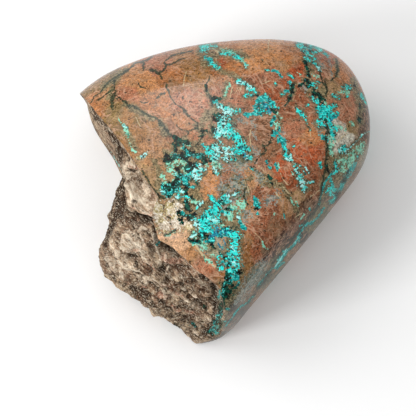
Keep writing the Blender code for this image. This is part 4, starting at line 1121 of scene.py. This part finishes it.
def build_mesh(name, points, triangles):
    mesh = bpy.data.meshes.new(name)
    mesh.vertices.add(len(points))
    mesh.vertices.foreach_set("co", to_world(points).astype(np.float32).ravel())
    mesh.loops.add(triangles.size)
    mesh.loops.foreach_set("vertex_index", triangles.astype(np.int32).ravel())
    mesh.polygons.add(len(triangles))
    mesh.polygons.foreach_set("loop_start", np.arange(0, triangles.size, 3, dtype=np.int32))
    mesh.update(calc_edges=True)
    mesh.validate()
    return mesh


def store(mesh, name, values):
    """Keeps one number, or three, for every point under that name."""
    kind = "FLOAT" if values.ndim == 1 else "FLOAT_VECTOR"
    key = "value" if values.ndim == 1 else "vector"
    mesh.attributes.new(name, kind, "POINT").data.foreach_set(key, values.astype(np.float32).ravel())


stone_mesh = build_mesh("polished_stone", points, triangles)
for name, values in fields.items():
    store(stone_mesh, name, values)
store(stone_mesh, "jasper_shade", jasper_shade)
is_flat = (points[triangles][:, :, 2] == 0).all(1)
slots = np.where(is_flat, SAWN, np.where(broken_face, BROKEN, POLISHED))
stone_mesh.polygons.foreach_set("material_index", slots.astype(np.int32))
stone_mesh.shade_smooth()
stone_mesh.set_sharp_from_angle(angle=SHARP_FROM)
stone = bpy.data.objects.new("polished_stone", stone_mesh)
bpy.context.scene.collection.objects.link(stone)
print("stone", len(stone_mesh.polygons), "triangles; polished, broken, sawn:", np.bincount(slots))

# %% [markdown]
# ## Shared effects
# Each effect is a node group: a small box of nodes with named outputs that any material can use. The
# helpers here make a group and its sockets, add and link a node in one line, and do the small sums
# that every effect needs.

# %% Helpers for nodes


def new_group(name, outputs):
    """An empty shader group whose outputs are given as {name: socket type}."""
    tree = bpy.data.node_groups.new(name, "ShaderNodeTree")
    for label, kind in outputs.items():
        tree.interface.new_socket(label, in_out="OUTPUT", socket_type=kind)
    tree.nodes.new("NodeGroupOutput")
    return tree


def add(tree, kind, inputs=None, **settings):
    """Adds a node, sets its properties, and fills its inputs with values or links."""
    node = tree.nodes.new("ShaderNode" + kind)
    for key, value in settings.items():
        setattr(node, key, value)
    for key, value in (inputs or {}).items():
        socket = node.inputs[key]
        if isinstance(value, bpy.types.NodeSocket):
            tree.links.new(value, socket)
        else:
            socket.default_value = value
    return node


def give(tree, **outputs):
    """Links these sockets to the group's own outputs."""
    for label, socket in outputs.items():
        tree.links.new(socket, tree.nodes["Group Output"].inputs[label])


def math_node(tree, operation, *values):
    return add(tree, "Math", dict(enumerate(values)), operation=operation).outputs[0]


def times(tree, first, second):
    return math_node(tree, "MULTIPLY", first, second)


def plus(tree, first, second):
    return math_node(tree, "ADD", first, second)


def most(tree, first, *others):
    """The greatest of several values."""
    for other in others:
        first = math_node(tree, "MAXIMUM", first, other)
    return first


def swung(tree, value, noise, amount):
    """The value, pushed up and down by the noise: amount is how far the whole swing would be."""
    return math_node(tree, "MULTIPLY_ADD", math_node(tree, "SUBTRACT", noise, 0.5), amount, value)


def ramp(tree, value, low, high, to_low=0.0, to_high=1.0):
    """Turns low..high into to_low..to_high, held at both ends."""
    inputs = {"Value": value, "From Min": low, "From Max": high, "To Min": to_low, "To Max": to_high}
    return add(tree, "MapRange", inputs).outputs[0]


def mix(tree, share, first, second):
    """A colour between first and second."""
    node = add(tree, "Mix", data_type="RGBA")
    for index, value in ((0, share), (6, first), (7, second)):
        if isinstance(value, bpy.types.NodeSocket):
            tree.links.new(value, node.inputs[index])
        elif index:
            node.inputs[index].default_value = (*value, 1.0)
        else:
            node.inputs[index].default_value = value
    return node.outputs[2]


def noise_node(tree, size_mm, detail=3.0, roughness=0.55, shift=0.0, place=None):
    """Noise whose largest grains are about that wide, read from the object's own coordinates."""
    place = place or add(tree, "TexCoord").outputs["Object"]
    moved = add(tree, "VectorMath", {0: place, 1: (shift, shift * 0.7, -shift)}, operation="ADD").outputs[0]
    inputs = {"Vector": moved, "Scale": 1000.0 / size_mm, "Detail": detail, "Roughness": roughness}
    return add(tree, "TexNoise", inputs).outputs["Fac"]


def attribute(tree, name):
    return add(tree, "Attribute", attribute_name=name)


print("node helpers ready")

# %% [markdown]
# ### Jasper ground
# Jasper is quartz full of iron dust. Close up its colour is never even: broad clouds, then flecks as
# fine as sugar, dark green pin-pricks, and pale hairlines where it cracked and healed. Each is one
# noise at its own size. The hairlines are noise folded at its middle and drawn out along a direction.

# %% Group: jasper ground
# The directions of the hairlines, and a shift that sets each family apart
HAIRLINES = (((0.80, 0.60, 0.0), 0.37), ((-0.35, 0.93, 0.1), 1.13), ((0.95, -0.30, 0.1), 1.91))


def drawn_out(tree, along, stretch):
    """The object's coordinates, squeezed along one direction so that noise read there is drawn out."""
    place = add(tree, "TexCoord").outputs["Object"]
    share = add(tree, "VectorMath", {0: place, 1: along}, operation="DOT_PRODUCT").outputs["Value"]
    less = math_node(tree, "MULTIPLY", share, 1 / stretch - 1)
    move = add(tree, "VectorMath", {0: along, 3: less}, operation="SCALE").outputs[0]
    return add(tree, "VectorMath", {0: place, 1: move}, operation="ADD").outputs[0]


def folded(tree, value, half_width):
    """1 where the noise passes its middle value, falling to 0 at half_width either side."""
    away = math_node(tree, "ABSOLUTE", math_node(tree, "SUBTRACT", value, 0.5))
    return ramp(tree, away, 0.0, half_width, 1.0, 0.0)


def make_jasper_group():
    tree = new_group("jasper_ground", {"Color": "NodeSocketColor", "Grain": "NodeSocketFloat"})
    clouds = ramp(tree, noise_node(tree, 3.6, 4.0, 0.7), 0.3, 0.7, -0.34, 0.34)
    flecks = noise_node(tree, 0.8, 3.0, 0.8, 0.03)
    sugar = ramp(tree, noise_node(tree, 0.42, 1.0, 0.6, 0.07), 0.3, 0.7, 0.55, 1.45)
    light = plus(tree, plus(tree, clouds, ramp(tree, flecks, 0.3, 0.7, -0.5, 0.5)), sugar)
    base = attribute(tree, "jasper_shade").outputs["Vector"]
    color = add(tree, "VectorMath", {0: base, 3: light}, operation="SCALE").outputs[0]
    sandy = ramp(tree, noise_node(tree, 2.2, 3.0, 0.7, 0.11), 0.5, 0.68, 0.0, 0.55)
    color = mix(tree, sandy, color, SHADES["sand"])
    specks = ramp(tree, noise_node(tree, 0.6, 2.0, 0.7, 0.17), 0.60, 0.66, 0.0, 0.55)
    color = mix(tree, specks, color, shade(220, 184, 146))
    for along, shift in HAIRLINES:
        crack = folded(tree, noise_node(tree, 2.6, 2.0, 0.5, shift, drawn_out(tree, along, 4.0)), 0.025)
        where = ramp(tree, noise_node(tree, 7.0, 2.0, 0.5, shift + 0.2), 0.46, 0.58, 0.0, 0.65)
        color = mix(tree, times(tree, crack, where), color, shade(226, 178, 146))
    grime = folded(tree, noise_node(tree, 5.0, 5.0, 0.7, 0.83), 0.02)
    where = ramp(tree, noise_node(tree, 9.0, 2.0, 0.5, 0.91), 0.42, 0.6, 0.0, 0.75)
    color = mix(tree, times(tree, grime, where), color, shade(84, 70, 50))
    pricks = ramp(tree, noise_node(tree, 0.9, 1.0, 0.5, 0.21), 0.68, 0.72, 0.0, 0.9)
    give(tree, Color=mix(tree, pricks, color, shade(48, 42, 30)), Grain=flecks)
    return tree


jasper_group = make_jasper_group()
print(jasper_group.name, len(jasper_group.nodes), "nodes")

# %% [markdown]
# ### Minerals
# A crust's number is soft-edged. We add fine noise to it and cut at a level, as a tide line cuts a
# rough shore: that gives the lacy edges, islands and pinholes of the real crusts. Under the bright
# crust lies a wider bed of dull green stain, and near-black specks fill its pinholes. Veins are cut
# from their signed distance in the same way. The crusts lie over each other in the table's order, each
# mottled between a dark shade and a light one.

# %% Group: minerals
# For each crust: its shift, its level, how far lumps and specks push its edge, its strength, its two
# shades, and the noise levels between which one gives way to the other
CRUSTS = {
    "malachite": (0.17, 0.0, 3.5, 4.5, 0.95, shade(44, 128, 100), shade(160, 242, 210), 0.36, 0.52),
    "teal": (0.19, -0.1, 3.0, 3.0, 1, shade(0, 74, 76), shade(16, 186, 180), 0.38, 0.56),
    "azure": (0.21, 0.1, 3.0, 3.0, 0.95, shade(4, 84, 112), shade(40, 160, 186), 0.40, 0.58),
    "black": (0.29, -0.2, 3.0, 3.0, 1, shade(0, 4, 2), shade(0, 84, 66), 0.46, 0.58),
    "bright": (0.31, 0.1, 3.0, 4.5, 1, shade(0, 166, 164), 1.08 * shade(44, 250, 238), 0.38, 0.53),
    "pale": (0.33, 0.0, 3.0, 4.5, 1, shade(44, 228, 218), 1.05 * shade(190, 255, 250), 0.40, 0.54),
}


def crust_mask(tree, name, shift, level=0.0, lumps=3.0, specks=3.0, blur=0.3):
    """1 where the mineral named is. Lumps and specks say how far two sizes of noise push its edge."""
    height = attribute(tree, name).outputs["Fac"]
    height = swung(tree, height, noise_node(tree, 1.5, 2.0, 0.5, shift), lumps)
    height = swung(tree, height, noise_node(tree, 0.5, 1.0, 0.5, shift), specks)
    return ramp(tree, height, level, level + blur)


def vein_mask(tree, name, rough, shift, low=0.6, high=1.2):
    """1 on the veins of that name."""
    both = add(tree, "SeparateXYZ", {0: attribute(tree, name).outputs["Vector"]}).outputs
    away = swung(tree, math_node(tree, "ABSOLUTE", both[0]), noise_node(tree, 0.7, 2.0, 0.6, shift), rough)
    return times(tree, ramp(tree, away, low, high, 1.0, 0.0), ramp(tree, both[1], 1.8, 2.4, 1.0, 0.0))


def two_shades(tree, value, first, second, low=0.4, high=0.6):
    return mix(tree, ramp(tree, value, low, high), first, second)


def lay(tree, color, mask, strength, paint):
    """The colour so far, with paint over it where the mask is."""
    if strength < 1:
        mask = times(tree, mask, strength)
    return mix(tree, mask, color, paint)


def lay_matrix(tree, color, mottle, fine):
    """Olive matrix with dark and pale specks in it, then haze, then cream hairlines."""
    olive = crust_mask(tree, "olive", 0.05, -0.5, 3.0, 2.0, 0.8)
    matrix = two_shades(tree, mottle, shade(64, 66, 44), shade(156, 142, 104), 0.36, 0.6)
    color = lay(tree, color, olive, 0.85, matrix)
    color = lay(tree, color, times(tree, olive, ramp(tree, fine, 0.42, 0.34)), 0.85, shade(24, 34, 24))
    color = lay(tree, color, times(tree, olive, ramp(tree, fine, 0.60, 0.66)), 0.6, shade(206, 190, 148))
    haze = crust_mask(tree, "haze", 0.09, 0.3, 3.0, 6.0, 0.3)
    color = lay(tree, color, haze, 0.75, two_shades(tree, mottle, shade(84, 124, 122), shade(184, 186, 172)))
    return lay(tree, color, vein_mask(tree, "cream_vein", 4.0, 0.13, 0.3, 0.9), 0.75, shade(222, 204, 160))


def lay_crusts(tree, color, mottle, fine):
    """The table's crusts, the dark veins and painted shadow line under the last three, and a mask for each.
    """
    patchy = noise_node(tree, 1.6, 3.0, 0.75, 0.66)
    masks = {}
    for name, (shift, level, lumps, specks, strength, dark, light, low, high) in CRUSTS.items():
        if name == "black":
            # The dark veins, with the painted shadow line under the polished edge
            vein = two_shades(tree, fine, shade(12, 24, 18), shade(72, 84, 60))
            color = lay(tree, color, vein_mask(tree, "dark_vein_and_shadow_line", 4.0, 0.23), 0.95, vein)
        masks[name] = crust_mask(tree, name, shift, level, lumps, specks)
        mottling = patchy if name in ("bright", "pale") else mottle
        color = lay(tree, color, masks[name], strength, two_shades(tree, mottling, dark, light, low, high))
    return color, masks


def lay_sparkle(tree, color, copper, lively):
    """Dark pits along the turquoise, and light flecks and shadows inside it."""
    pits = ramp(tree, noise_node(tree, 0.7, 1.0, 0.6, 0.87), 0.58, 0.62)
    color = lay(tree, color, times(tree, ramp(tree, copper, -1.4, -0.2), pits), 0.95, shade(4, 46, 42))
    flecks = ramp(tree, noise_node(tree, 0.55, 1.0, 0.6, 0.93), 0.58, 0.64)
    color = lay(tree, color, times(tree, lively, flecks), 0.75, 1.1 * shade(110, 255, 244))
    shadows = ramp(tree, noise_node(tree, 0.6, 1.0, 0.6, 0.95), 0.40, 0.35)
    return lay(tree, color, times(tree, lively, shadows), 0.6, shade(0, 88, 86))


def make_mineral_group():
    tree = new_group("minerals", {"Color": "NodeSocketColor", "Crust": "NodeSocketFloat"})
    tree.interface.new_socket("Ground", in_out="INPUT", socket_type="NodeSocketColor")
    mottle = noise_node(tree, 0.9, 2.0, 0.6, 0.61)
    fine = noise_node(tree, 0.45, 1.0, 0.6, 0.77)
    color = lay_matrix(tree, tree.nodes.new("NodeGroupInput").outputs["Ground"], mottle, fine)
    copper = most(tree, *(attribute(tree, name).outputs["Fac"] for name in ("bright", "pale")))
    stain = two_shades(tree, fine, shade(20, 72, 66), shade(140, 132, 98), 0.36, 0.58)
    color = lay(tree, color, ramp(tree, swung(tree, copper, mottle, 5.0), -1.4, -0.6), 0.8, stain)
    color, masks = lay_crusts(tree, color, mottle, fine)
    color = lay_sparkle(tree, color, copper, most(tree, masks["bright"], masks["teal"]))
    give(tree, Color=color, Crust=most(tree, *masks.values()))
    return tree


mineral_group = make_mineral_group()
print(mineral_group.name, len(mineral_group.nodes), "nodes")

# %% [markdown]
# ### Broken rock
# Where the stone broke, light catches thousands of sugar-sized grains, here painted as near-white
# glints. Cream painted highlight lies on the crests and painted shade in the low places, in the hollows
# and in the gaps between the fibres; grey-brown rock and dark specks lie between, all drawn out along
# the way the ridges run.

# %% Group: broken rock
FLOW_ABOVE, FLOW_BELOW = (tuple((grain / np.linalg.norm(grain)).tolist())
                          for grain in (RELIEF_GRAIN_ABOVE, RELIEF_GRAIN_BELOW))
FLOW_TURNS = tuple((y - BOX_MIDDLE[1]) * METRES_PER_MM for y in RELIEF_TURNS)
ROCKS = (("rosy_rock", 0.35), ("brown_rock", 0.37), ("pale_rock", 0.40), ("shaded_hollow", 0.43))
ROCK_TONE = (1.04, 0.98, 0.90)
PALE_QUARTZ = (1.1 * shade(206, 178, 152), 1.25 * shade(255, 246, 230))


def flowing_noise(tree, size_mm, detail, roughness, shift, stretch):
    """Noise drawn out along the ridges, whose direction turns under the lobe."""
    above, below = (noise_node(tree, size_mm, detail, roughness, shift, drawn_out(tree, flow, stretch))
                    for flow in (FLOW_ABOVE, FLOW_BELOW))
    north = add(tree, "SeparateXYZ", {0: add(tree, "TexCoord").outputs["Object"]}).outputs[1]
    share = ramp(tree, north, *FLOW_TURNS)
    return math_node(tree, "MULTIPLY_ADD", math_node(tree, "SUBTRACT", above, below), share, below)


def make_broken_group():
    tree = new_group("broken_rock", {"Color": "NodeSocketColor", "Grain": "NodeSocketFloat"})
    rosy, brown, pale, dark = (crust_mask(tree, name, shift, -0.1, 2.0, 1.6, 0.7) for name, shift in ROCKS)
    streaks = flowing_noise(tree, 1.0, 4.0, 0.75, 0.47, 3.0)
    fibres = flowing_noise(tree, 0.45, 2.0, 0.7, 0.49, 6.0)
    grain = flowing_noise(tree, 0.7, 3.0, 0.85, 0.53, 2.0)
    bands = flowing_noise(tree, 2.2, 2.0, 0.6, 0.61, 5.0)
    clouds = ramp(tree, noise_node(tree, 5.0, 3.0, 0.6, 0.59), 0.50, 0.62)
    specks = ramp(tree, noise_node(tree, 0.42, 1.0, 0.7, 0.55), 0.62, 0.68)
    shading_height = attribute(tree, "shading_height").outputs["Fac"]
    color = two_shades(tree, streaks, shade(92, 70, 56), shade(194, 170, 144), 0.41, 0.59)
    color = lay(tree, color, clouds, 0.4, shade(176, 124, 98))
    color = lay(tree, color, brown, 0.75, two_shades(tree, streaks, shade(92, 62, 46), shade(152, 116, 92)))
    color = lay(tree, color, ramp(tree, bands, 0.53, 0.59), 0.55, shade(216, 192, 164))
    color = lay(tree, color, ramp(tree, bands, 0.47, 0.41), 0.55, shade(70, 52, 42))
    # Painted highlight on the crests and painted shade in the low places
    color = lay(tree, color, ramp(tree, swung(tree, shading_height, grain, 4.0), 0.2, 1.2), 0.5, shade(240, 224, 198))
    color = lay(tree, color, ramp(tree, swung(tree, shading_height, grain, 3.0), -0.4, -1.2), 0.75, shade(56, 42, 34))
    color = lay(tree, color, rosy, 0.8, two_shades(tree, grain, shade(186, 130, 106), shade(236, 188, 166)))
    color = lay(tree, color, pale, 0.8, two_shades(tree, streaks, *PALE_QUARTZ, 0.42, 0.56))
    # Painted shade in the hollows and along the shadowed left margin
    color = lay(tree, color, dark, 0.88, two_shades(tree, streaks, shade(28, 20, 15), shade(86, 66, 52)))
    color = lay(tree, color, ramp(tree, fibres, 0.56, 0.64), 0.65, shade(250, 238, 216))
    # Painted shade in the gaps between the fibres, weaker on the pale quartz
    shaded_gaps = times(tree, ramp(tree, fibres, 0.44, 0.36), ramp(tree, pale, 0.0, 1.0, 1.0, 0.4))
    color = lay(tree, color, shaded_gaps, 0.8, shade(78, 56, 42))
    # Painted glints: near-white specks where light catches the sugary grains
    color = lay(tree, color, specks, 0.75, shade(255, 248, 232))
    color = lay(tree, color, ramp(tree, grain, 0.41, 0.36), 0.72, shade(44, 32, 26))
    toned = add(tree, "VectorMath", {0: color, 1: ROCK_TONE}, operation="MULTIPLY").outputs[0]
    give(tree, Color=toned, Grain=plus(tree, plus(tree, grain, streaks), fibres))
    return tree


broken_group = make_broken_group()
print(broken_group.name, len(broken_group.nodes), "nodes")

# %% [markdown]
# ## Materials
# The polish is smooth but not glassy: jasper takes a waxy shine, and the softer copper minerals are
# a little duller. The broken side is dull all over. The sawn back has the faint lines of the saw.

# %% Materials
REFLECTION = 0.12
BARE_CREAMS = (shade(230, 208, 146), shade(246, 226, 200))
BARE_WHITE = 1.2 * shade(255, 250, 236)
SAW_TURN, SAW_SCALE = 0.5, 260.0


def place_group(tree, group):
    return add(tree, "Group", node_tree=group)


def new_material(name):
    material = bpy.data.materials.new(name)
    material.use_nodes = True
    shader = material.node_tree.nodes["Principled BSDF"]
    shader.inputs["Specular IOR Level"].default_value = REFLECTION
    return material, material.node_tree, shader


def jasper_with_minerals(tree):
    """Both groups, placed so that the minerals lie on the jasper."""
    jasper, minerals = place_group(tree, jasper_group), place_group(tree, mineral_group)
    tree.links.new(jasper.outputs["Color"], minerals.inputs["Ground"])
    return jasper, minerals


def bump(tree, height, distance_mm):
    return add(tree, "Bump", {"Height": height, "Distance": distance_mm * METRES_PER_MM}).outputs[0]


def bare_cream(tree):
    """The colour of the unpolished hollow: creams with white and olive grains."""
    fine = noise_node(tree, 0.7, 4.0, 0.85, 0.57)
    cream = two_shades(tree, noise_node(tree, 3.0, 2.0, 0.5, 0.71), *BARE_CREAMS, 0.44, 0.56)
    cream = mix(tree, ramp(tree, fine, 0.50, 0.58), cream, BARE_WHITE)
    return mix(tree, ramp(tree, fine, 0.46, 0.38, 0.0, 0.9), cream, shade(96, 92, 62))


def make_polish():
    material, tree, shader = new_material("polished_jasper_skin")
    jasper, minerals = jasper_with_minerals(tree)
    grain, crust = jasper.outputs["Grain"], minerals.outputs["Crust"]
    rough_patch = crust_mask(tree, "rough_patch", 0.67, 0.0, 2.0, 2.0)
    bare = times(tree, times(tree, rough_patch, math_node(tree, "SUBTRACT", 1.0, crust)), 0.92)
    tree.links.new(mix(tree, bare, minerals.outputs["Color"], bare_cream(tree)), shader.inputs["Base Color"])
    waxy = plus(tree, ramp(tree, grain, 0.3, 0.7, 0.2, 0.3), times(tree, crust, 0.12))
    tree.links.new(most(tree, waxy, times(tree, rough_patch, 0.8)), shader.inputs["Roughness"])
    height = plus(tree, times(tree, crust, -0.5), times(tree, grain, 0.25))
    rough_grain = times(tree, rough_patch, place_group(tree, broken_group).outputs["Grain"])
    height = math_node(tree, "MULTIPLY_ADD", rough_grain, 8.0, height)
    tree.links.new(bump(tree, height, 0.05), shader.inputs["Normal"])
    return material


def make_break():
    material, tree, shader = new_material("broken_jasper")
    _, minerals = jasper_with_minerals(tree)
    raw = place_group(tree, broken_group)
    green = times(tree, most(tree, crust_mask(tree, "teal", 0.73), crust_mask(tree, "black", 0.79)), 0.85)
    color = mix(tree, green, raw.outputs["Color"], minerals.outputs["Color"])
    tree.links.new(color, shader.inputs["Base Color"])
    shader.inputs["Roughness"].default_value = 0.8
    tree.links.new(bump(tree, raw.outputs["Grain"], 0.8), shader.inputs["Normal"])
    return material


def make_sawn():
    material, tree, shader = new_material("sawn_jasper")
    _, minerals = jasper_with_minerals(tree)
    tree.links.new(minerals.outputs["Color"], shader.inputs["Base Color"])
    place = add(tree, "TexCoord").outputs["Object"]
    turned = add(tree, "Mapping", {"Vector": place, "Rotation": (0, 0, SAW_TURN)}).outputs[0]
    saw = {"Vector": turned, "Scale": SAW_SCALE, "Distortion": 1.5, "Detail": 2.0}
    lines = add(tree, "TexWave", saw).outputs["Fac"]
    tree.links.new(ramp(tree, lines, 0.0, 1.0, 0.5, 0.62), shader.inputs["Roughness"])
    tree.links.new(bump(tree, lines, 0.03), shader.inputs["Normal"])
    return material


for make in (make_polish, make_break, make_sawn):
    stone_mesh.materials.append(make())
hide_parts("stone")
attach(stone, "root")
print("materials:", ", ".join(m.name for m in stone_mesh.materials))

# %% [markdown]
# ## Floor and light
# A pale floor and an even white room, a little darker near the horizon so that the steep facet keeps its
# colour. A wide lamp at the upper left shapes the dome, a smaller one low on the left rakes over the
# broken side, and a small one behind the ridge is seen only as the soft sheen on the dome.

# %% Floor
FLOOR_HALF = 3.0
FLOOR_GREY, FLOOR_ROUGHNESS = 0.9, 0.7


def make_floor():
    mesh = bpy.data.meshes.new("floor")
    corners = [(x * FLOOR_HALF, y * FLOOR_HALF, 0) for x, y in ((-1, -1), (1, -1), (1, 1), (-1, 1))]
    mesh.from_pydata(corners, [], [(0, 1, 2, 3)])
    material, _, shader = new_material("pale_floor")
    shader.inputs["Base Color"].default_value = (FLOOR_GREY, FLOOR_GREY, FLOOR_GREY, 1)
    shader.inputs["Roughness"].default_value = FLOOR_ROUGHNESS
    mesh.materials.append(material)
    floor = bpy.data.objects.new("floor", mesh)
    bpy.context.scene.collection.objects.link(floor)
    floor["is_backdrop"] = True
    return floor


floor = make_floor()
print("floor", floor.dimensions.x, "m across")

# %% Lights
LAMP_AIM = Vector((0, 0, 0.02))
# The direction from the stone, the distance and the width in metres, and the watts
LAMPS = {
    "sheen": ((-0.145, 0.55, 0.82), 0.6, 0.2, 2.2),
    "key": ((-0.75, 0.25, 0.62), 1.0, 0.8, 4.2),
    "left": ((-0.80, -0.42, 0.42), 1.0, 0.3, 6.0),
}
ROOM_LOW, ROOM_HIGH, ROOM_HIGH_FROM = 0.22, 0.86, 0.8


def add_lamp(name, direction, distance, size, watts):
    """A square lamp in that direction from the stone, facing it."""
    lamp = bpy.data.lights.new(name, "AREA")
    lamp.size, lamp.energy = size, watts
    holder = bpy.data.objects.new(name, lamp)
    place = Vector(direction).normalized() * distance + LAMP_AIM
    facing = Vector(direction).to_track_quat("Z", "Y")
    holder.matrix_world = Matrix.Translation(place) @ facing.to_matrix().to_4x4()
    bpy.context.scene.collection.objects.link(holder)
    return holder


def make_room():
    """An even white world that dims towards the horizon."""
    world = bpy.data.worlds.new("white_room")
    world.use_nodes = True
    tree = world.node_tree
    tree.nodes["Background"].inputs["Color"].default_value = (1, 1, 1, 1)
    upward = add(tree, "SeparateXYZ", {0: add(tree, "TexCoord").outputs["Generated"]}).outputs[2]
    brightness = ramp(tree, upward, 0.0, ROOM_HIGH_FROM, ROOM_LOW, ROOM_HIGH)
    tree.links.new(brightness, tree.nodes["Background"].inputs["Strength"])
    return world


lamps = {name: add_lamp(name, *lamp) for name, lamp in LAMPS.items()}
lamps["sheen"].visible_diffuse = False
bpy.context.scene.world = make_room()
bpy.context.scene.view_settings.view_transform = "Standard"
print("lamps:", ", ".join(lamps))
